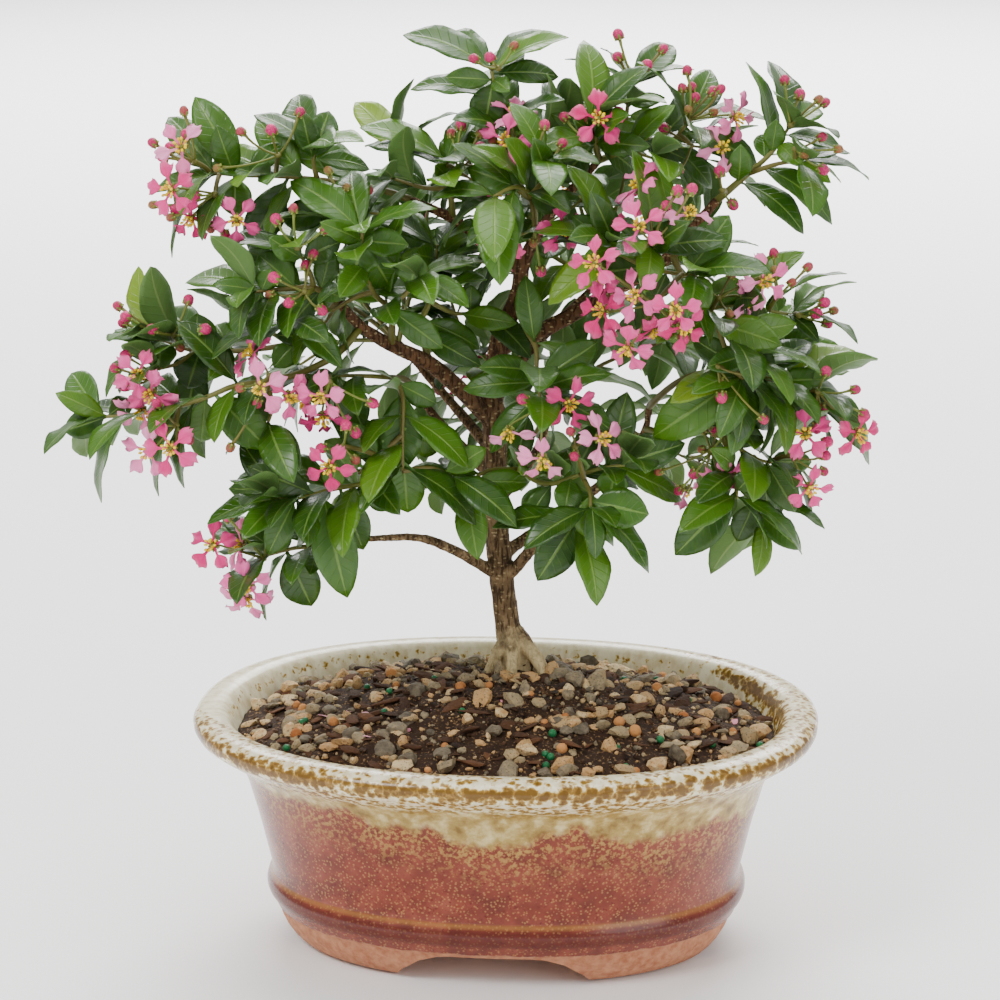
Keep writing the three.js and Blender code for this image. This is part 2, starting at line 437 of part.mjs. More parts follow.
// Closed tube along a path: radius(t) for t from 0 to 1, with lobes(angle, point) as a factor
function tube(path, radius, sides, lobes = () => 1) {
  const vertices = [];
  const triangles = [];
  const side = new THREE.Vector3();
  const across = new THREE.Vector3(0, 1, 0.13);
  for (let i = 0; i < path.length; i++) {
    const along = path[Math.min(i + 1, path.length - 1)].clone().sub(path[Math.max(i - 1, 0)]).normalize();
    side.crossVectors(along, across).normalize();
    across.crossVectors(side, along).normalize();
    for (let k = 0; k < sides; k++) {
      const angle = (2 * Math.PI * k) / sides;
      const r = radius(i / (path.length - 1)) * lobes(angle, path[i]);
      const point = path[i].clone().addScaledVector(side, r * Math.cos(angle));
      point.addScaledVector(across, r * Math.sin(angle));
      vertices.push(...point.toArray());
    }
  }
  for (let i = 0; i + 1 < path.length; i++) {
    for (let k = 0; k < sides; k++) {
      const a = i * sides + k;
      const b = i * sides + ((k + 1) % sides);
      triangles.push(a, a + sides, b, b, a + sides, b + sides);
    }
  }
  const last = (path.length - 1) * sides;
  for (let k = 1; k + 1 < sides; k++) {
    triangles.push(0, k, k + 1, last, last + k + 1, last + k);
  }
  const made = solidFrom(vertices, triangles);
  return made.volume() < 0 ? flipped(vertices, triangles) : made;
}

function flipped(vertices, triangles) {
  const turned = [];
  for (let i = 0; i < triangles.length; i += 3) {
    turned.push(triangles[i], triangles[i + 2], triangles[i + 1]);
  }
  return solidFrom(vertices, turned);
}

function boxOf(solid) {
  const box = solid.boundingBox();
  return { min: box.min, max: box.max };
}

function boxesMeet(a, b) {
  for (let i = 0; i < 3; i++) if (a.min[i] > b.max[i] || b.min[i] > a.max[i]) return false;
  return true;
}

function joined(solids) {
  return solids.length === 1 ? solids[0] : wasm.Manifold.union(solids);
}

function largest(solid) {
  return solid.decompose().sort((a, b) => b.volume() - a.volume())[0];
}

// Drops the slivers that joining leaves, keeps the main body and parts corners that merely touch
const SLACKS = [0.1, 0.06, 0.03, 0.01];
const TOUCH = 0.01;

function settled(solid) {
  const main = largest(solid).asOriginal();
  const trimmed = SLACKS.map((slack) => largest(main.simplify(slack)));
  const kept = trimmed.find((made) => made.volume() > 0.99 * main.volume()) ?? main;
  const { vertProperties, triVerts } = kept.getMesh();
  const corner = (i) => new THREE.Vector3().fromArray(vertProperties, 3 * i);
  const count = vertProperties.length / 3;
  const inward = Array.from({ length: count }, () => new THREE.Vector3());
  for (let i = 0; i < triVerts.length; i += 3) {
    const [a, b, c] = [0, 1, 2].map((k) => corner(triVerts[i + k]));
    const normal = b.sub(a).cross(c.sub(a));
    for (const k of [0, 1, 2]) inward[triVerts[i + k]].sub(normal);
  }
  const cells = new PointCells(TOUCH);
  for (let i = 0; i < count; i++) cells.add(corner(i), i);
  const vertices = [];
  for (let i = 0; i < count; i++) {
    const point = corner(i);
    if (cells.hits(point, i)) point.addScaledVector(inward[i].normalize(), TOUCH);
    vertices.push(...point.toArray());
  }
  return largest(solidFrom(vertices, triVerts));
}

// Outline stations of a leaf: share of its length and share of its half width
const LEAF_STATIONS = [[0.36, 0.95], [0.72, 0.85]];
const LEAF_ROOT = 0.35;
const VIEWER = new THREE.Vector3(0, -1, 0.25).normalize();
const UP = new THREE.Vector3(0, 0, 1);

// A leaf is a base, a tip, a full width, the way its upper side faces and the height of its arch
function leafPoint(leaf, share) {
  const point = leaf.base.clone().lerp(leaf.tip, share);
  return point.addScaledVector(leaf.face, 4 * leaf.arch * share * (1 - share));
}

function leafSide(leaf) {
  return leaf.face.clone().cross(leaf.tip.clone().sub(leaf.base)).normalize();
}

// Blade with a flat upper side, a sharp rim and a keel underneath
function leafSolid(leaf) {
  const side = leafSide(leaf);
  const vertices = [];
  const put = (p) => vertices.push(p.x, p.y, p.z) / 3 - 1;
  const foot = put(leafPoint(leaf, -LEAF_ROOT / leaf.base.distanceTo(leaf.tip)));
  const rows = LEAF_STATIONS.map(([share, wide]) => {
    const middle = leafPoint(leaf, share);
    const half = (wide * leaf.width) / 2;
    const left = put(middle.clone().addScaledVector(side, half));
    const right = put(middle.clone().addScaledVector(side, -half));
    const keel = put(middle.clone().addScaledVector(leaf.face, -LEAF_THICKNESS));
    return { left, right, keel };
  });
  const tip = put(leaf.tip.clone());
  const [first, last] = rows;
  const triangles = [
    foot, first.right, first.left, tip, last.left, last.right,
    foot, first.left, first.keel, foot, first.keel, first.right,
    tip, last.keel, last.left, tip, last.right, last.keel,
  ];
  for (let i = 0; i + 1 < rows.length; i++) {
    const a = rows[i];
    const b = rows[i + 1];
    triangles.push(a.left, a.right, b.right, a.left, b.right, b.left);
    triangles.push(a.left, b.left, b.keel, a.left, b.keel, a.keel);
    triangles.push(a.right, a.keel, b.keel, a.right, b.keel, b.right);
  }
  const made = solidFrom(vertices, triangles);
  return made.volume() < 0 ? flipped(vertices, triangles) : made;
}

// Points over a blade, by which leaves keep clear of each other
function leafSamples(leaf) {
  const side = leafSide(leaf);
  const samples = [];
  for (const share of [0.35, 0.55, 0.75, 0.95]) {
    const middle = leafPoint(leaf, share);
    const half = (leaf.width / 2) * (share > 0.9 ? 0.15 : 0.7);
    for (const across of [-half, 0, half]) samples.push(middle.clone().addScaledVector(side, across));
  }
  return samples;
}

// A bag of points with their owners, searched by cells
class PointCells {
  constructor(size) {
    this.size = size;
    this.cells = new Map();
  }
  key(i, j, k) {
    return i + "," + j + "," + k;
  }
  add(point, owner) {
    const [i, j, k] = point.toArray().map((value) => Math.floor(value / this.size));
    const key = this.key(i, j, k);
    if (!this.cells.has(key)) this.cells.set(key, []);
    this.cells.get(key).push([point, owner]);
  }
  hits(point, owner) {
    const [i, j, k] = point.toArray().map((value) => Math.floor(value / this.size));
    let count = 0;
    for (let a = i - 1; a <= i + 1; a++)
      for (let b = j - 1; b <= j + 1; b++)
        for (let c = k - 1; c <= k + 1; c++)
          for (const [other, whose] of this.cells.get(this.key(a, b, c)) ?? [])
            if (whose !== owner && other.distanceTo(point) < this.size) count++;
    return count;
  }
}

// The point of a set of paths nearest to a point seen from the front
function nearestSeen(paths, x, z) {
  let best = null;
  for (const path of paths) {
    for (const point of path) {
      const scale = 1 + point.y / EYE_DISTANCE;
      const dx = EYE_X + (point.x - EYE_X) / scale - x;
      const dz = EYE_HEIGHT + (point.z - EYE_HEIGHT) / scale - z;
      const distance = dx * dx + dz * dz;
      if (!best || distance < best.distance) best = { distance, point };
    }
  }
  return best.point;
}

function nearestPoint(paths, target) {
  let best = null;
  for (const path of paths) {
    for (const point of path) {
      const distance = point.distanceToSquared(target);
      if (!best || distance < best.distance) best = { distance, point };
    }
  }
  return best.point;
}

// Leaf seen from the front from base to tip; its real width turns away from the viewer to show as given
function seenLeaf(paths, [baseX, baseZ, tipX, tipZ, width], depth, draw) {
  const base = nearestSeen(paths, baseX, baseZ).clone();
  const tip = front(tipX, tipZ, base.y + depth);
  const along = tip.clone().sub(base);
  const length = along.length();
  along.divideScalar(length);
  const real = Math.max(width, 0.4 * length);
  const turn = Math.min(1, width / real);
  const face = VIEWER.clone().addScaledVector(along, -VIEWER.dot(along)).normalize();
  const side = along.clone().cross(face);
  if (side.z < 0) side.negate();
  face.multiplyScalar(turn).addScaledVector(side, Math.sqrt(1 - turn * turn)).normalize();
  return { base, tip, width: real, face, arch: length * (0.05 + 0.09 * draw) };
}

// Leaf of a rule-made pair: away from the stem on one side, rising a little and arching over
function pairLeaf(base, along, turn, size, draw) {
  const level = along.clone().cross(UP);
  if (level.length() < 0.2) level.set(1, 0, 0);
  level.normalize();
  const rise = level.clone().cross(along).normalize();
  const out = level.multiplyScalar(Math.cos(turn)).addScaledVector(rise, Math.sin(turn));
  const way = out.multiplyScalar(0.85).addScaledVector(along, 0.5).addScaledVector(UP, -0.12).normalize();
  const length = size * (0.8 + 0.35 * draw);
  const tip = base.clone().addScaledVector(way, length);
  const outward = new THREE.Vector3(base.x, base.y - 12, 0).normalize();
  const face = UP.clone().multiplyScalar(0.8).addScaledVector(outward, 0.45);
  face.addScaledVector(way, -face.dot(way)).normalize();
  return { base: base.clone(), tip, width: length * LEAF_WIDTH_SHARE, face, arch: length * 0.1 };
}

// Open bloom: five wedges, clawed at the raised centre, on a stalk that bends back to the hub
function bloomSolid(bloom) {
  const { centre, facing, foot, turn, radius } = bloom;
  const x = new THREE.Vector3(0, 0, 1).cross(facing);
  if (x.length() < 0.2) x.set(1, 0, 0);
  x.normalize();
  const y = facing.clone().cross(x);
  const spread = (point, r, angle) =>
    point.clone().addScaledVector(x, r * Math.cos(angle)).addScaledVector(y, r * Math.sin(angle));
  const at = (r, angle, rise) => spread(centre, r, angle).addScaledVector(facing, rise);
  const vertices = [];
  const put = (p) => vertices.push(p.x, p.y, p.z) / 3 - 1;
  const top = put(at(0, 0, 1.5));
  const ring = [];
  for (let k = 0; k < PETALS; k++) {
    const mid = turn + (2 * Math.PI * k) / PETALS;
    ring.push(put(at(radius * CLAW_SHARE, mid - Math.PI / PETALS, 0)));
    ring.push(put(at(radius * 0.97, mid - PETAL_HALF_ANGLE, -0.4)));
    ring.push(put(at(radius * 0.97, mid + PETAL_HALF_ANGLE, 0.4)));
  }
  const sides = 3;
  const corner = (k) => turn - Math.PI / PETALS + (2 * Math.PI * (k + 0.5)) / sides;
  const calyx = [0, 1, 2].map((k) => put(at(CALYX_RADIUS, corner(k), -CALYX_DEPTH)));
  const neckLength = Math.min(BLOOM_NECK, 0.4 * centre.distanceTo(foot));
  const bend = centre.clone().addScaledVector(facing, -neckLength);
  const neck = [0, 1, 2].map((k) => put(spread(bend, STALK_RADIUS * 1.3, corner(k))));
  const heel = [0, 1, 2].map((k) => put(spread(foot, STALK_RADIUS, corner(k))));
  const triangles = [heel[0], heel[2], heel[1]];
  const share = ring.length / sides;
  ring.forEach((point, k) => {
    const next = ring[(k + 1) % ring.length];
    const under = calyx[Math.floor(k / share)];
    triangles.push(top, point, next, under, next, point);
    if ((k + 1) % share === 0) triangles.push(under, calyx[((k + 1) / share) % sides], next);
  });
  for (let k = 0; k < sides; k++) {
    const j = (k + 1) % sides;
    for (const [a, b] of [[calyx, neck], [neck, heel]]) {
      triangles.push(a[k], b[k], a[j], a[j], b[k], b[j]);
    }
  }
  const made = solidFrom(vertices, triangles);
  return made.volume() < 0 ? flipped(vertices, triangles) : made;
}

// Round bud at the end of its stalk, as one body
function budSolid(bud) {
  const way = bud.centre.clone().sub(bud.foot).normalize();
  const at = (distance) => bud.centre.clone().addScaledVector(way, distance);
  const path = [bud.foot.clone(), at(-BUD_RADIUS * 0.95), at(0), at(BUD_RADIUS * 1.05)];
  const radii = [STALK_RADIUS, STALK_RADIUS * 1.3, BUD_RADIUS, STALK_RADIUS * 0.6];
  return tube(path, (t) => radii[Math.round(t * 3)], 3);
}

// Radii of green stems at their start and end
const MAIN_STEM = [1.3, 0.8];
const SIDE_STEM = [1, 0.75];
const STEM_SIDES = 3;
const LIMB_SIDES = 5;
const TRUNK_SIDES = 10;
const PAIR_SPACING = 32;
const STEM_STEP = 11;
const HUB_RADIUS = 1.5;
const BUD_SHARE = 0.45;
const BLOOM_NECK = 4;
const BLOOM_DEPTHS = [0, 4, -4, 8, -8, 12, -12, 16, -16];
const BLOOM_ROOM = 4.5;
const BLOOM_STALK = 8;
const MOST_TWIST = 0.62;
const BLOOM_SAMPLES = [[0, 0], [6, 0], [-6, 0], [0, 6], [0, -6]];

function tapered([start, end]) {
  return (t) => start + (end - start) * t;
}

// Root flare: five lobes that widen the trunk's foot towards the soil
function flare(angle, point) {
  const low = THREE.MathUtils.clamp((FLARE_TOP - point.z) / FLARE_HEIGHT, 0, 1);
  const lobe = 0.5 + 0.5 * Math.cos(5 * angle + 1.2);
  const bark = 0.05 * Math.cos(7 * angle + 0.15 * point.z);
  return 1 + low * low * (FLARE_LEAST + FLARE_LOBE * lobe) + bark;
}

const limbPaths = LIMBS.map(([, , rows]) => pathThrough(rows.map((row) => front(...row)), 15));
const trunkFoot = limbPaths[0][0];
const rootPath = [68, 74, 80, 85, 88, 92].map((z) => new THREE.Vector3(trunkFoot.x, trunkFoot.y, z));
const trunkPath = [...rootPath, ...limbPaths[0].slice(1)];

// Tube that stands extra millimetres outside one of the given radii, at its far end too
function grown(path, [start, end], extra, sides, lobes) {
  const last = path.length - 1;
  const stretch = path[last].clone().sub(path[last - 1]).setLength(extra);
  const longer = path.map((point, i) => (i === last ? point.clone().add(stretch) : point));
  return tube(longer, tapered([start + extra, end + extra]), sides, lobes);
}

// The trunk and its limbs, with extra added to each radius
function woodTubes(extra) {
  return LIMBS.map(([start, end], i) => {
    if (i === 0) return grown(trunkPath, [start, end], extra, TRUNK_SIDES, flare);
    return grown(limbPaths[i], [start, end], extra, LIMB_SIDES);
  });
}

// Stems of every spray, each started on the wood or stem that carries it
const sprays = SPRAYS.map(([name, stemRows, seenLeaves]) => {
  const stems = [];
  stemRows.forEach(([bare, scale, rows], i) => {
    const points = rows.map((row) => front(...row));
    points[0] = nearestPoint(i ? [stems[0].path] : limbPaths, points[0]).clone();
    stems.push({ bare, scale, path: pathThrough(points, STEM_STEP), radii: i ? SIDE_STEM : MAIN_STEM });
  });
  return { name, stems, seenLeaves };
});

// A bloom moves by the first of BLOOM_DEPTHS that leaves it clear of the blooms before it
const bloomCentres = [];

function clearDepth(centre) {
  const free = (extra) => bloomCentres.every((other) =>
    Math.hypot(other.x - centre.x, other.z - centre.z) > 1.8 * BLOOM_RADIUS
      || Math.abs(other.y - centre.y - extra) > BLOOM_ROOM);
  return BLOOM_DEPTHS.find(free) ?? 0;
}

// Flower clusters, rows of one name being joined at their hubs
const allStemPaths = [...limbPaths, ...sprays.flatMap((spray) => spray.stems.map((stem) => stem.path))]
  .map((path) => pathThrough(path, 3));
const clusters = new Map();
CLUSTERS.forEach(([name, root, hub, blooms, buds], index) => {
  const draw = draws(SEED * 1000 + index);
  const hubPoint = front(...hub);
  const behind = hub[2] > 30;
  const rootPoint = nearestPoint(allStemPaths, hubPoint.clone().lerp(front(...root), 0.25));
  const item = ([x, z]) => front(x, z, hub[2] + (behind ? 1 : -1) * (draw() * 9 - 3));
  const flowers = blooms.map((at) => {
    const centre = item(at);
    centre.y += clearDepth(centre);
    const aside = Math.hypot(centre.x - hubPoint.x, centre.z - hubPoint.z);
    const reach = Math.sqrt(Math.max(0, BLOOM_STALK ** 2 - aside ** 2));
    if (Math.abs(centre.y - hubPoint.y) < reach) centre.y = hubPoint.y + (behind ? reach : -reach);
    bloomCentres.push(centre);
    const outward = centre.clone().sub(hubPoint).normalize();
    const facing = new THREE.Vector3(draw() * 0.9 - 0.45, behind ? 0.9 : -0.9, draw() * 0.8 - 0.35);
    facing.addScaledVector(outward, 0.45).normalize();
    facing.addScaledVector(outward, Math.max(0, MOST_TWIST - facing.dot(outward))).normalize();
    const turn = draw() * 6.28;
    const radius = BLOOM_RADIUS * (0.88 + 0.2 * draw());
    return { centre, facing, foot: hubPoint, turn, radius };
  });
  const knobs = buds.map((at) => ({ centre: item(at), foot: hubPoint }))
    .sort((a, b) => b.centre.distanceTo(hubPoint) - a.centre.distanceTo(hubPoint))
    .slice(0, Math.ceil(buds.length * BUD_SHARE));
  if (!clusters.has(name)) clusters.set(name, []);
  clusters.get(name).push({ rootPoint, hubPoint, flowers, knobs });
});

// What already stands in the crown: solids by owner for exact tests and points for spacing
const placed = [];
const spacing = new PointCells(LEAF_CLEARANCE);

function place(owner, solid) {
  placed.push({ owner, solid, box: boxOf(solid) });
}

function crosses(owner, solid) {
  const box = boxOf(solid);
  return placed.some((other) =>
    other.owner !== owner && boxesMeet(box, other.box) && !solid.intersect(other.solid).isEmpty());
}

woodTubes(GAP).forEach((solid) => place("trunk", solid));
for (const path of limbPaths) pathThrough(path, 5).forEach((point) => spacing.add(point, "trunk"));
for (const spray of sprays) {
  for (const stem of spray.stems) {
    place(spray.name, grown(stem.path, stem.radii, GAP, STEM_SIDES));
    pathThrough(stem.path, 5).slice(2).forEach((point) => spacing.add(point, spray.name + "/stem"));
  }
}

// A stalk between two points, bent by the first of these offsets that keeps it off other stems
const BENDS = [
  [0, 0], [-5, 0], [5, 0], [0, 5], [0, -5], [-8, 4], [8, -4], [-8, -4], [8, 4], [-14, 0], [14, 0],
];
const PEDUNCLE_RADIUS = 0.65;

function clearTube(owner, start, end) {
  const paths = BENDS.map(([dy, dz]) => {
    const middle = start.clone().lerp(end, 0.5).add(new THREE.Vector3(0, dy, dz));
    return dy || dz ? [start, middle, end] : [start, end];
  });
  const beyond = (path) => [path[0].clone().lerp(path[1], path.length > 2 ? 0.6 : 0.4), ...path.slice(1)];
  const free = paths.find((path) => !crosses(owner, tube(beyond(path), () => PEDUNCLE_RADIUS, 3)));
  return tube(free ?? paths[0], () => PEDUNCLE_RADIUS, 3);
}

// Flower solids of each cluster
const flowerSolids = new Map();
for (const [name, rows] of clusters) {
  const solids = [];
  rows.forEach(({ rootPoint, hubPoint, flowers, knobs }, i) => {
    const start = i ? rows[0].hubPoint : rootPoint;
    solids.push(clearTube(name, start, hubPoint));
    const knot = new THREE.OctahedronGeometry(HUB_RADIUS, 0).rotateZ(0.5).rotateX(0.4);
    solids.push(solidOf(knot.translate(...hubPoint.toArray())));
    for (const flower of flowers) {
      for (const [dx, dz] of BLOOM_SAMPLES) {
        spacing.add(flower.centre.clone().add(new THREE.Vector3(dx, 0, dz)), name);
      }
      const solid = bloomSolid(flower);
      if (!crosses(name, solid)) solids.push(solid);
    }
    for (const knob of knobs) {
      const solid = budSolid(knob);
      if (!crosses(name, solid)) solids.push(solid);
      spacing.add(knob.centre, name);
    }
  });
  solids.forEach((solid) => place(name, solid));
  flowerSolids.set(name, solids);
}

// Turns tried for a leaf that meets something else: about its stem, in radians
const PAIR_TURNS = [0, 0.4, -0.4, 0.8, -0.8, 1.2, -1.2];
const SEEN_DEPTHS = [0, -6, 6, -11, 11, -16];

function chooseLeaf(owner, candidates, mostHits) {
  let best = null;
  for (const leaf of candidates) {
    const hits = leafSamples(leaf).reduce((sum, point) => sum + spacing.hits(point, owner + "/stem"), 0);
    if (!best || hits < best.hits) best = { leaf, hits };
    if (!best.hits) break;
  }
  if (best.hits > mostHits) return null;
  leafSamples(best.leaf).forEach((point) => spacing.add(point, owner));
  return best.leaf;
}

const SEEN_LEAF_HITS = 9;
const PAIR_LEAF_HITS = 1;

function addLeaf(spray, leaf) {
  if (!leaf) return;
  const solid = leafSolid(leaf);
  if (crosses(spray.name, solid)) return;
  place(spray.name, solid);
  spray.solids.push(solid);
}

// Leaves seen from the front come first, then the pairs that fill each stem
sprays.forEach((spray, index) => {
  const draw = draws(SEED * 100 + index);
  spray.solids = spray.stems.map((stem) => tube(stem.path, tapered(stem.radii), STEM_SIDES));
  const paths = spray.stems.map((stem) => pathThrough(stem.path, 4).slice(2, -1));
  for (const row of spray.seenLeaves) {
    const depth = draw() * 14 - 8;
    const arch = draw();
    const candidates = SEEN_DEPTHS.map((extra) => seenLeaf(paths, row, depth + extra, arch));
    addLeaf(spray, chooseLeaf(spray.name, candidates, SEEN_LEAF_HITS));
  }
});
sprays.forEach((spray, index) => {
  const draw = draws(SEED * 200 + index);
  for (const { path, bare, scale } of spray.stems) {
    const lengths = [0];
    for (let i = 1; i < path.length; i++) lengths.push(lengths[i - 1] + path[i].distanceTo(path[i - 1]));
    const whole = lengths[lengths.length - 1];
    const pairs = Math.max(1, Math.round((whole * (1 - bare)) / PAIR_SPACING));
    for (let pair = 0; pair < pairs; pair++) {
      const distance = whole * (1 - ((1 - bare) * pair) / pairs);
      const i = Math.max(1, lengths.findIndex((length) => length >= distance - 1e-6));
      const share = (distance - lengths[i - 1]) / (lengths[i] - lengths[i - 1]);
      const base = path[i - 1].clone().lerp(path[i], Math.min(share, 0.88));
      const along = path[i].clone().sub(path[i - 1]).normalize();
      for (const way of [0, Math.PI]) {
        const turn = way + (pair % 2 ? 1.1 : 0.35) + (draw() - 0.5) * 0.6;
        const size = draw();
        const candidates = PAIR_TURNS.map((extra) =>
          pairLeaf(base, along, turn + extra, LEAF_LENGTH * scale, size));
        addLeaf(spray, chooseLeaf(spray.name, candidates, PAIR_LEAF_HITS));
      }
    }
  }
});

// Cuts a solid back from the placed stems of other owners and keeps its main body
function cutBack(owner, solid, woody) {
  const box = boxOf(solid);
  const others = woody.filter((other) => other.owner !== owner && boxesMeet(box, other.box));
  return settled(solid.subtract(joined(others.map((other) => other.solid))));
}

// Superellipse that follows the pot's outline, inset from the rim's widest line
function outline(angle, inset) {
  const power = 2 / POT_SQUARENESS;
  const c = Math.cos(angle);
  const s = Math.sin(angle);
  return [
    (POT_HALF_LENGTH - inset) * Math.sign(c) * Math.abs(c) ** power,
    (POT_HALF_DEPTH - inset) * Math.sign(s) * Math.abs(s) ** power,
  ];
}

// Closed lathe body whose turned profile [half length, z] follows the pot's outline
function ovalBody(profile, sides) {
  const lathe = new THREE.LatheGeometry(profile.map(([r, z]) => new THREE.Vector2(r, z)), sides);
  const position = lathe.getAttribute("position");
  const rows = profile.length;
  const vertices = [];
  const index = [];
  const place = [];
  for (let k = 0; k < sides; k++) {
    for (let i = 0; i < rows; i++) {
      const radius = profile[i][0];
      const angle = (2 * Math.PI * k) / sides;
      const [x, y] = radius > 0.01 ? outline(angle, POT_HALF_LENGTH - radius) : [0, 0];
      const onAxis = radius <= 0.01;
      place.push(onAxis && k ? place[i] : vertices.length / 3);
      if (!onAxis || !k) vertices.push(x, y, position.getY(i));
    }
  }
  for (let k = 0; k < sides; k++) {
    for (let i = 0; i + 1 < rows; i++) {
      const a = place[k * rows + i];
      const b = place[k * rows + i + 1];
      const c = place[((k + 1) % sides) * rows + i];
      const d = place[((k + 1) % sides) * rows + i + 1];
      if (a !== c) index.push(a, c, b);
      if (b !== d) index.push(b, c, d);
    }
  }
  const made = solidFrom(vertices, index);
  return made.volume() < 0 ? flipped(vertices, index) : made;
}

// A three.js geometry as a solid
function solidOf(geometry) {
  const position = geometry.getAttribute("position");
  const keys = new Map();
  const vertices = [];
  const order = [];
  for (let i = 0; i < position.count; i++) {
    const at = [position.getX(i), position.getY(i), position.getZ(i)];
    const p = at.map((value) => Math.round(value * 1e4) / 1e4);
    const key = p.join();
    if (!keys.has(key)) {
      keys.set(key, vertices.length / 3);
      vertices.push(...p);
    }
    order.push(keys.get(key));
  }
  const index = geometry.index ? Array.from(geometry.index.array, (i) => order[i]) : order;
  return solidFrom(vertices, index);
}

function cylinder(radius, low, high, x, y, sides) {
  const geometry = new THREE.CylinderGeometry(radius, radius, high - low, sides);
  return solidOf(geometry.rotateX(Math.PI / 2).translate(x, y, (low + high) / 2));
}

// Pot: lip, body, bead, base and four feet, with two drainage holes
const POT_OUTSIDE = [
  [0, FOOT_HEIGHT], [WAIST_HALF_LENGTH - 2.5, FOOT_HEIGHT], [WAIST_HALF_LENGTH, 15],
  [WAIST_HALF_LENGTH + 1.6, 18.8], [WAIST_HALF_LENGTH, 23], [79, 34], [82.5, 49], [87.5, 62],
  [94.5, 67.3], [100, 71.5], [POT_HALF_LENGTH, 75.2], [98.5, RIM_TOP], [91, 77.4],
];
const POT_INSIDE = [[87.2, 69], [79.5, 48], [72, 23], [68, FLOOR_TOP], [0, FLOOR_TOP]];
const FOOT_OUTSIDE = [[0, 0], [67, 0], [70, 2], [73, 6], [75, FOOT_HEIGHT + 1], [0, FOOT_HEIGHT + 1]];
const FOOT_HOLLOW = [[0, -1], [54, -1], [52, FOOT_HEIGHT], [0, FOOT_HEIGHT]];
const FEET_LENGTH_GAP = 29;
const FEET_DEPTH_GAP = 17;

function cutterAcross(lowHalf, highHalf, alongY) {
  const shape = new THREE.Shape();
  shape.moveTo(-lowHalf, -5);
  shape.lineTo(lowHalf, -5);
  shape.lineTo(highHalf, FOOT_HEIGHT + 3);
  shape.lineTo(-highHalf, FOOT_HEIGHT + 3);
  const geometry = new THREE.ExtrudeGeometry(shape, { depth: 240, bevelEnabled: false });
  geometry.rotateX(Math.PI / 2);
  geometry.translate(0, 120, 0);
  if (!alongY) geometry.rotateZ(Math.PI / 2);
  return solidOf(geometry);
}

function makePot() {
  const body = ovalBody([...POT_OUTSIDE, ...POT_INSIDE], POT_SIDES);
  const footRing = ovalBody(FOOT_OUTSIDE, POT_SIDES).subtract(ovalBody(FOOT_HOLLOW, POT_SIDES));
  const feet = footRing
    .subtract(cutterAcross(FEET_LENGTH_GAP + 4, FEET_LENGTH_GAP - 7, true))
    .subtract(cutterAcross(FEET_DEPTH_GAP + 4, FEET_DEPTH_GAP - 7, false));
  return [-1, 1].reduce(
    (pot, side) => pot.subtract(cylinder(DRAIN_RADIUS, -1, FLOOR_TOP + 1, side * DRAIN_X, 0, 16)),
    body.add(feet),
  );
}

// Mesh screen over a drainage hole: a square plate with four openings
const SCREEN_SIZE = 22;
const SCREEN_PITCH = 9;
const SCREEN_HOLE = 6.5;
const SCREEN_LOW = FLOOR_TOP + GAP;
const SCREEN_HIGH = SCREEN_LOW + 1;

function makeScreen(x) {
  const block = (size, height, dx, y) =>
    solidOf(new THREE.BoxGeometry(size, size, height).translate(x + dx, y, (SCREEN_LOW + SCREEN_HIGH) / 2));
  const steps = [-0.5, 0.5].map((step) => step * SCREEN_PITCH);
  const holes = steps.flatMap((dx) => steps.map((y) => block(SCREEN_HOLE, 4, dx, y)));
  return block(SCREEN_SIZE, SCREEN_HIGH - SCREEN_LOW, 0, 0).subtract(joined(holes));
}

// Soil in the tree's frame: a low mound with a rough, stony top and a plain hole for the trunk
const SOIL_SIDES = 24;
const SOIL_RINGS = 7;
const SOIL_LOW = SCREEN_HIGH + GAP;
const SOIL_WALL = [[67.8, SOIL_LOW], [72, 23], [79.5, 48], [86.9, 68.2]];
const SOIL_REACH = 87;
const RELIEF = 2.6;

function makeSoil() {
  const draw = draws(SEED);
  const vertices = [0, 0, SOIL_LOW];
  const triangles = [];
  const rings = [];
  const ringOf = (at) => {
    const start = vertices.length / 3;
    for (let k = 0; k < SOIL_SIDES; k++) {
      vertices.push(...new THREE.Vector3(...at(k)).applyAxisAngle(UP, -TREE_YAW).toArray());
    }
    rings.push(start);
  };
  for (const [radius, z] of SOIL_WALL) {
    ringOf((k) => [...outline((2 * Math.PI * k) / SOIL_SIDES, POT_HALF_LENGTH - radius + GAP), z]);
  }
  for (let ring = SOIL_RINGS; ring > 0; ring--) {
    const share = ring / (SOIL_RINGS + 0.6);
    ringOf((k) => {
      const angle = (2 * Math.PI * (k + (ring % 2 ? 0.5 : 0))) / SOIL_SIDES;
      const [x, y] = outline(angle, POT_HALF_LENGTH - SOIL_REACH).map((value) => value * share);
      const height = SOIL_EDGE + (SOIL_MOUND - SOIL_EDGE) * (1 - share ** 1.6);
      return [x + draw() - 0.5, y + draw() - 0.5, height + (draw() - 0.6) * RELIEF];
    });
  }
  const top = vertices.length / 3;
  vertices.push(0, 0, SOIL_MOUND);
  const at = (row, k) => rings[row] + (k % SOIL_SIDES);
  for (let k = 0; k < SOIL_SIDES; k++) {
    triangles.push(0, at(0, k + 1), at(0, k));
    for (let row = 0; row + 1 < rings.length; row++) {
      triangles.push(at(row, k), at(row, k + 1), at(row + 1, k));
      triangles.push(at(row + 1, k), at(row, k + 1), at(row + 1, k + 1));
    }
    triangles.push(at(rings.length - 1, k), at(rings.length - 1, k + 1), top);
  }
  const made = solidFrom(vertices, triangles);
  const mound = made.volume() < 0 ? flipped(vertices, triangles) : made;
  return mound.subtract(joined(woodTubes(GAP)));
}

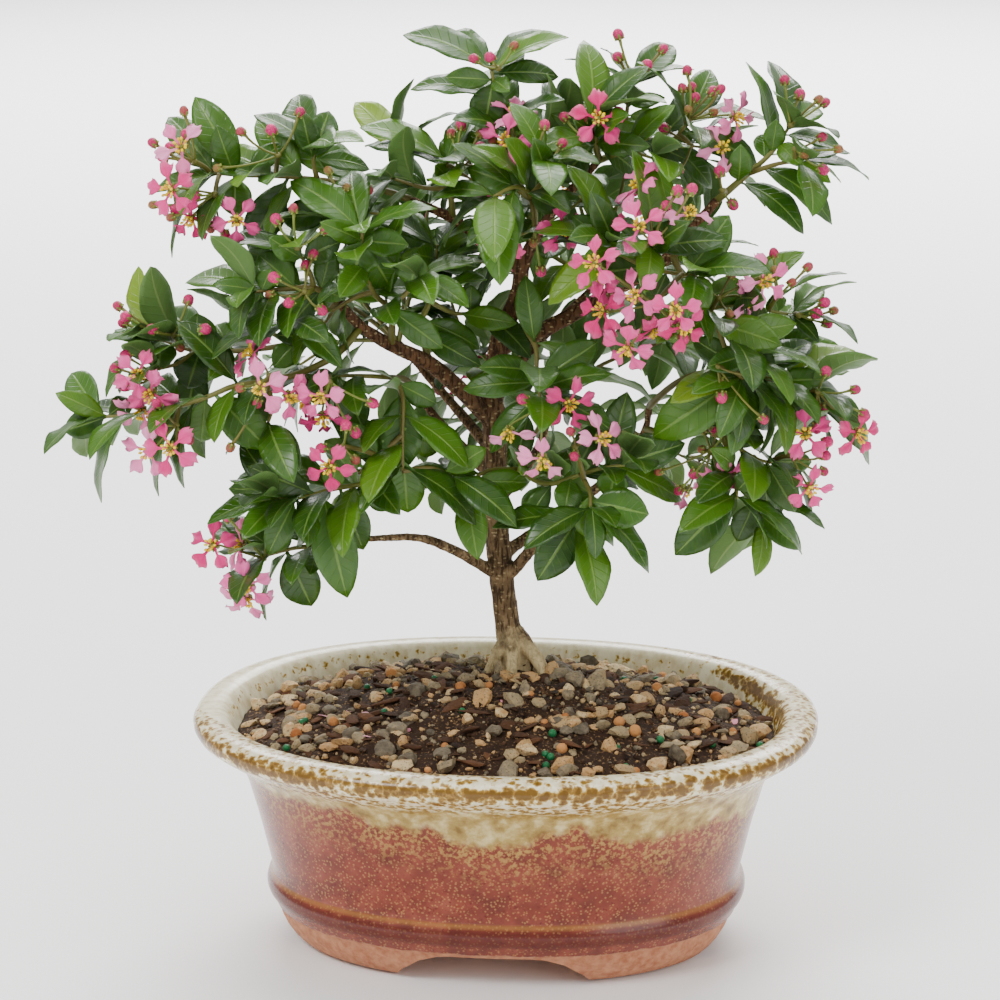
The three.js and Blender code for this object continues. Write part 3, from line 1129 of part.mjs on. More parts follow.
const MATERIALS = {
  pot: { color: "#9c5a46", roughness: 0.3, metalness: 0 },
  drain_mesh: { color: "#23282a", roughness: 0.7, metalness: 0 },
  soil: { color: "#4a3527", roughness: 0.95, metalness: 0 },
  trunk: { color: "#6b5039", roughness: 0.9, metalness: 0 },
  spray: { color: "#3f6b24", roughness: 0.45, metalness: 0 },
  flowers: { color: "#e0789a", roughness: 0.6, metalness: 0 },
};

function meshOf(name, solid) {
  const { vertProperties, triVerts } = solid.getMesh();
  const geometry = new THREE.BufferGeometry();
  geometry.setAttribute("position", new THREE.BufferAttribute(vertProperties, 3));
  geometry.setIndex(new THREE.BufferAttribute(triVerts, 1));
  const kind = Object.keys(MATERIALS).find((key) => name.startsWith(key));
  const mesh = new THREE.Mesh(geometry, new THREE.MeshStandardMaterial(MATERIALS[kind]));
  mesh.name = name;
  return mesh;
}

const tree = new THREE.Group();
tree.rotation.z = TREE_YAW;
tree.add(meshOf("soil", settled(makeSoil())));
tree.add(meshOf("trunk", settled(joined(woodTubes(0)))));
const stemSolids = placed.filter(({ owner }) => owner === "trunk" || owner.startsWith("spray"))
  .slice(0, LIMBS.length + sprays.reduce((sum, spray) => sum + spray.stems.length, 0));
sprays.forEach((spray, i) => {
  const earlier = new Set(["trunk", ...sprays.slice(0, i).map(({ name }) => name)]);
  const woody = stemSolids.filter(({ owner }) => earlier.has(owner));
  tree.add(meshOf(spray.name, cutBack(spray.name, joined(spray.solids), woody)));
});
for (const [name, solids] of flowerSolids) {
  tree.add(meshOf(name, cutBack(name, joined(solids), stemSolids)));
}

const bonsai = new THREE.Group();
bonsai.add(meshOf("pot", settled(makePot())));
bonsai.add(meshOf("drain_mesh_left", makeScreen(-DRAIN_X)));
bonsai.add(meshOf("drain_mesh_right", makeScreen(DRAIN_X)));
bonsai.add(tree);

// The part's origin is the bottom centre of its box
bonsai.updateMatrixWorld(true);
const wholeBox = new THREE.Box3().setFromObject(bonsai, true);
const middle = wholeBox.getCenter(new THREE.Vector3());
bonsai.position.set(-middle.x, -middle.y, -wholeBox.min.z);

export default bonsai;
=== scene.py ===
# Looks of the Barbados cherry bonsai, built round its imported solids. Blender units are metres.
# The tree is grown in millimetres from points as they show from the front, [x, z, y], like its solids:
# x and z are read on the upright plane through the pot's centre, and y is the depth behind it.
import math

import bmesh
import bpy
import numpy as np
from mathutils import Matrix, Vector, noise


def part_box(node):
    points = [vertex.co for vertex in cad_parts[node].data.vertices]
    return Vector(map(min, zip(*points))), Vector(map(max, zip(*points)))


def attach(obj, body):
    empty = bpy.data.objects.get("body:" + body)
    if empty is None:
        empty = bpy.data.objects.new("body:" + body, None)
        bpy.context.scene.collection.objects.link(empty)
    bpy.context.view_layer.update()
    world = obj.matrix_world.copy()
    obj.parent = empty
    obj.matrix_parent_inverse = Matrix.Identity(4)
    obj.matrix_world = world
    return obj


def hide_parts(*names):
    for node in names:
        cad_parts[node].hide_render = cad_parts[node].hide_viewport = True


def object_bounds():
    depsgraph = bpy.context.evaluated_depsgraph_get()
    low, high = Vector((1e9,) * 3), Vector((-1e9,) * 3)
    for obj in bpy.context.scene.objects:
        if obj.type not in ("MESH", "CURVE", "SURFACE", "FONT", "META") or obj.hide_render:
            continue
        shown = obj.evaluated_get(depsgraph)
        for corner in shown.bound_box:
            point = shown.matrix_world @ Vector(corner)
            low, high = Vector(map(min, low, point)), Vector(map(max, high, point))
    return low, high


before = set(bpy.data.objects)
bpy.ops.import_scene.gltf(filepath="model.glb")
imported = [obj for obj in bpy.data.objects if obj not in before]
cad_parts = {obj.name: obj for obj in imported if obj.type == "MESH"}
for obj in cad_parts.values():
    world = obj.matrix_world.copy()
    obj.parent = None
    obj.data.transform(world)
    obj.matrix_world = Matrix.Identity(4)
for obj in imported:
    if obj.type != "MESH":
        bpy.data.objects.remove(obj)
cad_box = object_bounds()

MM = 0.001
SEED = 7

# The viewer of the front view, in the tree's own frame, which is turned about the pot's centre
TREE_YAW = math.radians(5.2)
EYE_X, EYE_DISTANCE, EYE_HEIGHT = -1.9, 932.5, 378.9
TRUNK_DEPTH = 12

# Wood and green stems: start and end radii of stems, and the steps of their paths
MAIN_STEM = (1.3, 0.8)
SIDE_STEM = (1.0, 0.75)
STEM_STEP = 11
LIMB_STEP = 15
FOOT_HEIGHTS = (68, 74, 80, 85, 88, 92)

# Blooms and buds. A crowded bloom moves by the first of BLOOM_DEPTHS that clears it.
BUD_RADIUS = 1.75
BLOOM_RADIUS = 9.0
BLOOM_STALK = 8.0
MOST_TWIST = 0.62
BLOOM_ROOM = 4.5
BACK_DEPTH = 30
BLOOM_DEPTHS = (0, 4, -4, 8, -8, 12, -12, 16, -16)
BLOOM_SAMPLES = ((0, 0), (6, 0), (-6, 0), (0, 6), (0, -6))
CAD_BUD_SHARE = 0.45

# Leaves. Places tried for a leaf come in order, and a place may come near so many others.
LEAF_LENGTH = 27.0
LEAF_WIDTH_SHARE = 0.42
LEAF_LEAST_SHARE = 0.4
LEAF_CLEARANCE = 3.0
LEAF_SAMPLES = ((0.35, 0.7), (0.55, 0.7), (0.75, 0.7), (0.95, 0.15))
CAD_PAIR_SPACING = 32
PAIR_SPACING = 9
PAIR_TURNS = (0, 0.4, -0.4, 0.8, -0.8, 1.2, -1.2)
SEEN_DEPTHS = (0, -6, 6, -11, 11, -16)
SEEN_LEAF_HITS = 9
PAIR_LEAF_HITS = 1
EXTRA_LEAF_HITS = 3

# Gaps below the crown, as left, low, right and high on the upright plane, and limbs that show
GAPS = ((-47, 100, -25, 142), (-25, 100, 10, 148), (10, 90, 32, 120.5), (32, 90, 54, 136.5))
OPEN_LIMBS = (0, 1, 2, 5, 6, 7)
WOOD_CLEARANCE = 3.2

# Wood of the trunk's node: start radius, end radius and points [x, z, y]
LIMBS = [
  [4.3, 3.9, [[2.6, 96, 12], [0.6, 104, 12], [-0.4, 112, 12], [-1.4, 121, 12], [-2.4, 131, 12],
    [-3.4, 142, 12], [-3.6, 152, 12], [-3.4, 162, 12], [-3.6, 172, 12]]],
  [3.9, 2.5, [[-3.6, 170, 12], [-4, 180, 12], [-3.4, 190, 12], [-1.6, 200, 11], [2.6, 208, 10],
    [4.2, 216, 9], [5, 223, 8]]],
  [3.3, 1.5, [[-4, 172, 12], [-9, 177, 9], [-20, 188.5, 2], [-30, 193.5, -3], [-40, 199, -8],
    [-47, 204, -11], [-53, 211, -14]]],
  [2.2, 1.4, [[4.6, 221, 8], [-2, 226, 8], [-10, 232.5, 7], [-20, 239, 6], [-30, 243.3, 4]]],
  [2.4, 1.3, [[4.8, 221, 8], [7, 227, 7], [11, 234, 6], [19, 245, 4], [29, 255.5, 2]]],
  [2.9, 1.5, [[-2, 196, 12], [14, 203, 10], [30, 212, 7], [42, 219, 4], [52, 226, 1],
    [60, 236, -1], [66, 243, -2]]],
  [2.2, 1.2, [[-2, 121, 12], [-8, 125, 7], [-15, 129, 2], [-20, 131, -2], [-31, 134.5, -8],
    [-45, 133.6, -13]]],
  [2.3, 1.3, [[0, 121, 12], [4, 125, 8], [12, 135, 1], [20, 142.5, -5], [26, 148, -9]]],
  [2.0, 1.2, [[-3, 152, 12], [-13, 163, 16], [-22, 173, 14], [-28, 181, 10]]],
  [2.2, 1.2, [[-2, 128, 12], [14, 139, 22], [32, 153, 26], [43, 166, 24], [45.5, 177, 20]]],
  [2.2, 1.2, [[-3, 160, 12], [-12, 172, 26], [-24, 186, 40], [-34, 198, 50]]],
  [2.2, 1.2, [[-2, 184, 12], [8, 196, 26], [20, 208, 40], [30, 218, 50]]],
  [2.0, 1.2, [[-3, 146, 12], [6, 156, 28], [12, 168, 42], [14, 178, 52]]],
]

# Leafy sprays: name, then stems [bare share, leaf scale, points]; the first stem springs from the wood
# and the others from the first. Then leaves seen from the front: [base x, base z, tip x, tip z, width].
SPRAYS = [
  ["spray_upper_left", [
    [0.1, 1, [[-28, 242.5, 5], [-40, 246.5, 3], [-52, 248.5, 0], [-66, 250.3, -3], [-80, 250.6, -6],
      [-92, 251.5, -8]]],
    [0.3, 0.9, [[-61, 249.8, -2], [-60, 254, -2], [-60, 259, -3]]],
    [0.4, 0.9, [[-50, 248.3, 0], [-52, 243, -8], [-56, 236, -14]]],
    [0.3, 0.9, [[-40, 246.5, 3], [-36, 252, 10], [-32, 258, 16]]],
  ], [
    [-86.3, 251, -90, 266, 9], [-78, 252, -93, 254, 6], [-85.4, 250, -85, 238, 11],
    [-68, 249, -81, 227, 12], [-59.7, 258, -55, 271, 11], [-60.6, 258, -63.6, 271, 8],
    [-60.7, 256.8, -42, 253.4, 7], [-91, 251, -112, 246, 6], [-54, 236, -70.6, 237.4, 10],
    [-80, 251, -70, 261, 7], [-50, 248, -57, 240, 8],
  ]],
  ["spray_upper_mid", [
    [0.3, 1, [[-14, 235, 7], [-17, 243, 4], [-18, 250, 2], [-18.5, 256, 0]]],
    [0.2, 0.9, [[-17, 243, 4], [-26, 247, 0], [-36, 250, -3]]],
  ], [
    [-19, 256, -41, 260.8, 6], [-20, 246, -2, 244, 7], [-24, 247, -40, 251, 6],
    [-17, 250, -22, 254, 6], [-18, 244, -4, 248, 8],
  ]],
  ["spray_left_top", [
    [0.15, 1, [[-51, 209, -13], [-58, 214.5, -17], [-66, 216, -20], [-74, 214, -23],
      [-80, 214, -25]]],
    [0.3, 0.9, [[-58, 214.5, -17], [-62, 221, -20], [-66, 228, -22]]],
    [0.3, 0.9, [[-64, 215.5, -19], [-67, 209, -24], [-68, 204, -28]]],
  ], [
    [-79, 214.9, -92.3, 216.4, 6], [-58.6, 216, -54.7, 227.6, 8], [-60, 213, -68.5, 202.4, 9],
    [-66, 216, -78, 226, 11], [-80, 214, -80, 207, 8], [-58, 214, -51, 212, 6],
    [-64, 224, -52, 230, 9], [-66, 227, -74, 231, 8], [-76, 214, -74, 221, 7],
  ]],
  ["spray_left_bright", [
    [0.2, 1, [[-38, 199, -8], [-36, 204, -14], [-37, 209, -18], [-42, 214, -22], [-45, 224, -26],
      [-45, 234, -28]]],
    [0.2, 0.9, [[-37, 209, -18], [-31, 214, -22], [-27, 219, -25]]],
    [0.2, 0.9, [[-41, 213, -21], [-48, 212, -18], [-56, 207, -16]]],
  ], [
    [-44, 235.8, -47.6, 219.6, 13], [-40, 234, -36, 215, 10], [-38, 235, -31, 229, 9],
    [-32, 215, -28, 226, 10], [-36, 212, -54, 219, 8], [-38, 209, -20, 196, 9],
    [-46, 214, -22, 214, 7], [-43, 234, -58, 236, 7], [-45, 222, -52, 213, 9],
  ]],
  ["spray_left_inner", [
    [0.25, 1, [[-29, 193, -3], [-27, 203, 0], [-24, 211, 3], [-23, 218, 5], [-21.5, 229, 6]]],
    [0.3, 0.9, [[-25.5, 207, 2], [-16, 207, 6], [-8, 208, 10]]],
  ], [
    [-24.9, 200.8, -8.3, 190.5, 9], [-21, 222, -33, 225, 7], [-21, 223, -9, 222, 7],
    [-13, 206, 3, 204, 8], [-21.5, 228, -29, 226, 8], [-21, 229, -8, 233, 7], [-25, 206, -8, 196, 8],
    [-12, 208, -11, 216, 7],
  ]],
  ["spray_left_far", [
    [0.35, 1, [[-50, 207, -12], [-62, 200, -11], [-73, 196.5, -10], [-94, 194.5, -10],
      [-104, 197, -10], [-111, 199, -10]]],
    [0.2, 0.9, [[-96, 195, -10], [-104, 191, -14], [-111, 189, -17]]],
    [0.2, 0.9, [[-70, 197, -10], [-76, 202, -4], [-83, 204, 0]]],
  ], [
    [-111, 199, -126, 199.5, 5], [-111, 199, -119, 194, 7], [-110, 198, -110, 189, 11],
    [-108, 201, -117, 212, 10], [-98, 199, -97.5, 207, 12], [-98.5, 196, -101, 183, 13],
    [-84, 198, -92, 204, 8], [-70, 203, -86, 201, 6], [-64.7, 197, -73.6, 189.8, 8],
    [-64.4, 198.2, -72.6, 200.1, 7], [-62.5, 198.2, -53.7, 194.3, 8], [-94.7, 193, -102.4, 167, 12],
    [-86, 195, -94, 186, 7],
  ]],
  ["spray_left_low", [
    [0.3, 1, [[-46, 203.5, -11], [-56, 192, -18], [-72, 186, -22], [-85, 184, -24], [-93, 181, -25],
      [-104, 177, -24], [-119, 174.5, -22], [-130, 173.5, -20]]],
    [0.3, 0.9, [[-73, 186, -22], [-74, 178, -26], [-76, 171, -28]]],
  ], [
    [-90.9, 180.5, -75.9, 163.5, 13], [-95, 179, -97, 165.4, 11], [-130.5, 174, -142.8, 181.4, 7],
    [-130.6, 174.3, -140.8, 169, 9], [-131, 174, -119, 179.5, 7], [-118, 175, -133, 178, 6],
    [-84, 183, -76, 172, 9], [-66, 187, -56, 178, 9],
  ]],
  ["spray_mid_low", [
    [0.25, 1, [[-26, 178, 11], [-32, 186, 4], [-36, 186, -8], [-33, 183, -18], [-33, 170, -24],
      [-33, 156, -27]]],
    [0.3, 0.9, [[-35, 186, -5], [-46, 187, -14], [-56, 187, -20]]],
    [0.3, 0.9, [[-33, 166, -25], [-42, 160, -22], [-47, 155, -20]]],
    [0.3, 0.9, [[-33, 160, -26], [-24, 157, -22], [-17, 154, -18]]],
  ], [
    [-32.7, 181.8, -33.2, 156, 13.6], [-33.2, 155, -31.4, 142, 12], [-44.2, 155, -34.3, 142, 9],
    [-15, 152, -27, 153.3, 8], [-19.5, 155.6, -6.4, 163.5, 8], [-53.3, 186.9, -45.5, 170, 11],
    [-36, 184, -22, 178, 8], [-33, 172, -20, 163, 10], [-46, 157, -58, 166, 9],
    [-40, 162, -52, 171, 9], [-55, 187, -63, 183, 8],
  ]],
  ["spray_low_left", [
    [0.4, 1, [[-3, 148, 12], [-20, 150, 0], [-36, 153, -16], [-47, 151.5, -24], [-58, 149.5, -28],
      [-66, 147, -29], [-73, 147, -30]]],
  ], [
    [-58.3, 148.4, -51.3, 113.8, 14], [-54, 149, -45.8, 129.7, 11], [-67.6, 147.1, -76.6, 128.1, 9],
    [-66.7, 146, -63.2, 131.4, 5], [-61.4, 150, -89, 150.3, 11], [-60.6, 150, -82.4, 157.5, 10],
    [-72, 147, -96, 139.1, 6], [-70.2, 147, -84.7, 133.8, 8], [-48, 151.5, -36, 144, 8],
    [-57, 149.5, -54, 158, 7],
  ]],
  ["spray_low_left_tip", [
    [0.3, 1, [[-43, 133.8, -12.5], [-54, 132, -16], [-62, 130.5, -18], [-70, 130.5, -20],
      [-77, 128, -21]]],
  ], [
    [-69.8, 130.7, -62.7, 110.8, 13], [-76, 129, -91, 141, 8], [-62, 130.5, -63, 122, 7],
    [-66, 130.5, -58, 139, 5], [-74, 129, -70, 137, 6],
  ]],
  ["spray_apex", [
    [0.3, 1, [[13, 237, 6], [6, 244, 4], [4, 252, 2], [2, 261, 0], [-1, 270, -2], [-4, 280, -3],
      [-4.5, 284, -3]]],
    [0.2, 0.9, [[3.5, 254, 2], [10, 260, 6], [16, 265, 8]]],
    [0.2, 0.9, [[4, 250, 2], [-4, 252, 8], [-12, 254, 12]]],
  ], [
    [-5.3, 279.2, -18.6, 281.3, 7], [-5.6, 279, -6.6, 265.5, 12], [-3.5, 284, 16.3, 281.6, 8],
    [-4, 280, 1, 277, 6], [0, 266, -16, 269, 6], [1, 265, 8, 270, 6], [3, 258, -10, 261, 6],
    [8, 259, 19, 266, 8], [4, 256, 6, 264, 7], [-2, 273, -6, 264, 6],
  ]],
  ["spray_top_front", [
    [0.3, 1, [[10, 233, 6], [9, 240, -8], [6, 246, -18], [2, 247, -24], [-4, 244, -27]]],
    [0.3, 0.9, [[8, 242, -12], [12, 250, -20], [12, 256, -25]]],
  ], [
    [6, 247, -12, 253, 10], [6, 247, -10, 260, 5], [7, 247, 1, 262, 6], [11, 246, 9, 262, 7],
    [12, 246, 17, 256, 9], [8, 245, 17, 240, 7], [4, 238, 1, 231, 8], [9, 238, 5, 231, 7],
    [12, 244, 27, 242, 6],
  ]],
  ["spray_top_mid", [
    [0.25, 1, [[28, 254.5, 2], [28, 260, -4], [27, 264, -8], [26, 268, -10]]],
    [0.2, 0.9, [[28, 258, -2], [38, 258, -10], [46, 256, -14]]],
    [0.2, 0.9, [[28, 258, -2], [18, 258, 4], [12, 262, 8]]],
  ], [
    [28, 262, 32, 273, 9], [27, 264, 14, 270, 6], [28, 261, 44, 266, 8], [29, 259, 44, 260, 8],
    [30, 258, 43, 250, 9], [27, 258, 12, 257, 8], [27, 257, 16, 249, 10], [28, 263, 37, 270, 7],
    [27, 258, 22, 268, 7],
  ]],
  ["spray_top_right", [
    [0.35, 1, [[28.5, 254, 2], [38, 259, 8], [44, 262, 10], [52, 262, 8], [56, 267, 5]]],
    [0.3, 0.9, [[35, 258, 7], [37, 266, 8], [38, 273, 8], [39, 279, 7]]],
    [0.3, 0.9, [[46, 262, 10], [54, 257, 14], [62, 256, 18]]],
  ], [
    [37.5, 272, 24.4, 281, 8], [57, 267, 78.7, 254.6, 10], [38, 270, 50, 268, 6],
    [44, 262, 56, 256, 8], [38, 272, 49, 275, 5], [52, 262, 58, 264, 6], [50, 262, 65, 247, 8],
    [44, 262, 32, 266, 6],
  ]],
  ["spray_right_tip", [
    [0.35, 1, [[64.5, 241, -2], [72, 250, -2], [77, 252, -3], [81, 256.5, -3], [86, 261, -4],
      [88, 266, -4]]],
    [0.3, 0.9, [[79, 254.5, -3], [85, 254.5, -8], [92, 255, -12]]],
  ], [
    [79, 252.5, 102.7, 236.1, 9], [69, 245, 94, 233.6, 8], [86.8, 261.1, 105, 258.7, 6],
    [90, 255.2, 101.6, 248.7, 5], [72, 250, 73, 260, 8], [73, 250, 68, 260, 7], [80, 256, 80, 264, 7],
    [84, 259, 84, 268, 7], [85, 260, 92, 254, 7],
  ]],
  ["spray_right_front", [
    [0.35, 1, [[41, 218.5, 4], [44, 219, -12], [46, 224, -24], [45, 229, -32]]],
    [0.2, 0.9, [[44.5, 220, -16], [52, 220, -26], [60, 219, -32]]],
    [0.2, 0.9, [[44.5, 220, -16], [36, 226, -24], [31, 230, -30]]],
  ], [
    [46.9, 228.2, 69.6, 230.7, 9], [47.7, 220.6, 28.9, 220.3, 11], [74, 221, 57, 218.7, 8],
    [63, 224, 69.9, 238.3, 12], [34, 228, 21, 238, 9], [35, 227, 27, 245, 9], [33, 229, 20, 231, 7],
    [60, 219, 83, 221, 8], [46, 226, 56, 236, 8], [60, 219, 64, 209, 9], [52, 220, 47, 212, 7],
  ]],
  ["spray_right_mid", [
    [0.3, 1, [[54, 228, 0], [57, 216, -14], [62, 208, -22], [67, 203, -26], [73, 196, -28],
      [78, 193, -28]]],
    [0.2, 0.9, [[60, 211, -19], [72, 210, -14], [83, 208, -10], [91, 206.5, -8]]],
    [0.2, 0.9, [[68, 202, -26], [72, 191, -26], [82, 186, -24]]],
  ], [
    [66, 204, 87, 197, 11], [80, 200, 85, 189, 9], [88, 206, 99, 198, 5], [76, 194, 64, 190, 8],
    [70, 200, 92, 204, 9], [60, 212, 76, 216, 9], [86, 207, 84, 213, 7], [73, 210, 80, 212, 8],
    [72, 190, 59, 199, 8], [64, 206, 52, 198, 9],
  ]],
  ["spray_right_low", [
    [0.35, 1, [[45.5, 176, 20], [53, 184, 8], [62, 188, -2], [76, 188, -10], [86, 185, -14],
      [97, 182, -16]]],
    [0.25, 0.9, [[60, 187.5, 0], [68, 193, 4], [78, 196, 8], [88, 195, 10]]],
    [0.3, 0.9, [[74, 188, -9], [73, 187, -22], [75, 186.5, -32]]],
  ], [
    [84.8, 184, 98.2, 168, 10], [82.3, 185.6, 83.9, 169, 12], [97, 180, 116.7, 158.5, 9],
    [96.8, 181.8, 114.3, 171.7, 7], [85.8, 195, 109.5, 191.7, 9], [74.6, 186.3, 46.9, 167, 15],
    [84, 186, 101, 186, 8], [86, 196, 98, 200, 9], [90, 184, 96, 176, 8], [76, 196, 84, 206, 9],
    [64, 188, 56, 178, 9],
  ]],
  ["spray_right_under", [
    [0.3, 1, [[43.5, 166, 24], [54, 168, 8], [65, 171, -6], [72, 165, -12], [80, 160, -16],
      [84, 159, -17]]],
    [0.3, 0.9, [[71, 166, -11], [73, 156, -20], [74, 147, -26]]],
    [0.3, 0.9, [[80, 160, -16], [79, 150, -12], [82, 138.5, -10]]],
  ], [
    [73, 146, 54.4, 128, 13], [79.2, 145, 74.3, 132.7, 9], [83.1, 138.7, 94.9, 130, 8],
    [81.6, 159.2, 84.2, 140.7, 9], [84, 160, 92.8, 142.4, 10], [81, 139, 90, 138, 7],
    [74, 164, 81, 146, 10], [65, 171, 78, 174, 7], [84, 161, 98, 159, 8], [73, 150, 79, 155, 8],
    [68, 169, 82, 167, 9], [74, 158, 66, 163, 7],
  ]],
  ["spray_centre_hang", [
    [0.25, 1, [[3, 206, 10], [6, 203, 0], [9.5, 196, -10], [9.8, 187, -16], [11, 179, -20]]],
  ], [
    [9.2, 186, -13.6, 183, 9], [9.2, 189, -8, 190, 8], [9.7, 199, 6, 219, 9], [11, 180, -1, 177, 8],
    [12, 184.5, 29, 198, 11], [12, 179, 22, 175, 6], [11, 180, 33, 188, 8],
  ]],
  ["spray_centre_low", [
    [0.15, 1, [[-3, 153.5, 8], [4, 156.5, 0], [10, 152.5, -8], [16, 152, -14], [24, 155, -18],
      [31, 157, -20], [38, 158, -22]]],
    [0.3, 0.9, [[1, 156, 3], [-6, 156, -6], [-13, 151, -10]]],
    [0.3, 0.9, [[25, 155.3, -18.5], [27, 149, -26], [27, 143, -30]]],
  ], [
    [37.3, 158.5, 57.1, 165.1, 10], [33.1, 160, 38.5, 181.8, 11], [39.6, 156.6, 56.7, 146.4, 9],
    [29, 145, 45.6, 141.8, 13], [25.6, 149.7, 29.3, 132.8, 13], [22, 154.6, 18.9, 142.4, 9],
    [34, 158, 33, 147, 10], [15.1, 151, 6.2, 139, 7], [11.2, 152.3, 5.8, 141.7, 7],
    [-10, 151.5, 7.7, 152.3, 8], [19, 153.5, 31, 172, 11], [3, 156, 7, 174, 8], [27, 143, 29, 127, 7],
  ]],
  ["spray_low_right", [
    [0.35, 1, [[23, 145.5, -7], [25, 144, -12], [24, 141.5, -18], [22, 139.7, -22]]],
  ], [
    [22.2, 139.7, 10.3, 119.7, 13],
  ]],
  ["spray_back_left", [
    [0.15, 1, [[-32, 196, 48], [-44, 206, 54], [-56, 214, 58]]],
    [0.1, 1, [[-34, 198, 50], [-32, 212, 62], [-34, 226, 68], [-32, 240, 66]]],
    [0.1, 1, [[-36, 200, 51], [-52, 198, 62], [-66, 190, 66]]],
    [0.1, 1, [[-34, 198, 50], [-26, 188, 66], [-18, 180, 78]]],
    [0.1, 1, [[-33, 197, 49], [-30, 214, 42], [-26, 230, 34], [-24, 242, 28]]],
    [0.1, 1, [[-36, 200, 51], [-46, 212, 40], [-54, 222, 30]]],
  ], []],
  ["spray_back_right", [
    [0.15, 1, [[28, 216.5, 48], [42, 222, 58], [58, 226, 62]]],
    [0.1, 1, [[30, 217, 50], [26, 232, 60], [22, 246, 60], [22, 258, 54]]],
    [0.1, 1, [[31, 217, 50], [44, 208, 64], [58, 200, 70], [72, 196, 66]]],
    [0.1, 1, [[29, 216, 49], [14, 214, 66], [2, 220, 78]]],
    [0.1, 1, [[29, 217, 49], [32, 232, 40], [36, 246, 32], [38, 256, 26]]],
    [0.1, 1, [[29, 216, 48], [14, 226, 42], [6, 240, 36], [4, 252, 28]]],
    [0.1, 1, [[31, 217, 50], [48, 222, 40], [60, 226, 30]]],
  ], []],
  ["spray_back_low", [
    [0.15, 1, [[13, 174, 48], [16, 182, 58], [20, 190, 66]]],
    [0.1, 1, [[14, 177, 51], [2, 178, 64], [-10, 172, 74]]],
    [0.1, 1, [[14, 177, 51], [30, 174, 62], [46, 166, 66], [58, 160, 62]]],
    [0.1, 1, [[14, 176, 50], [8, 166, 60], [2, 156, 64]]],
    [0.1, 1, [[14, 177, 50], [26, 188, 40], [38, 194, 34], [50, 198, 30]]],
    [0.1, 1, [[13, 175, 49], [-4, 190, 44], [-14, 202, 38], [-18, 214, 34]]],
  ], []],
]

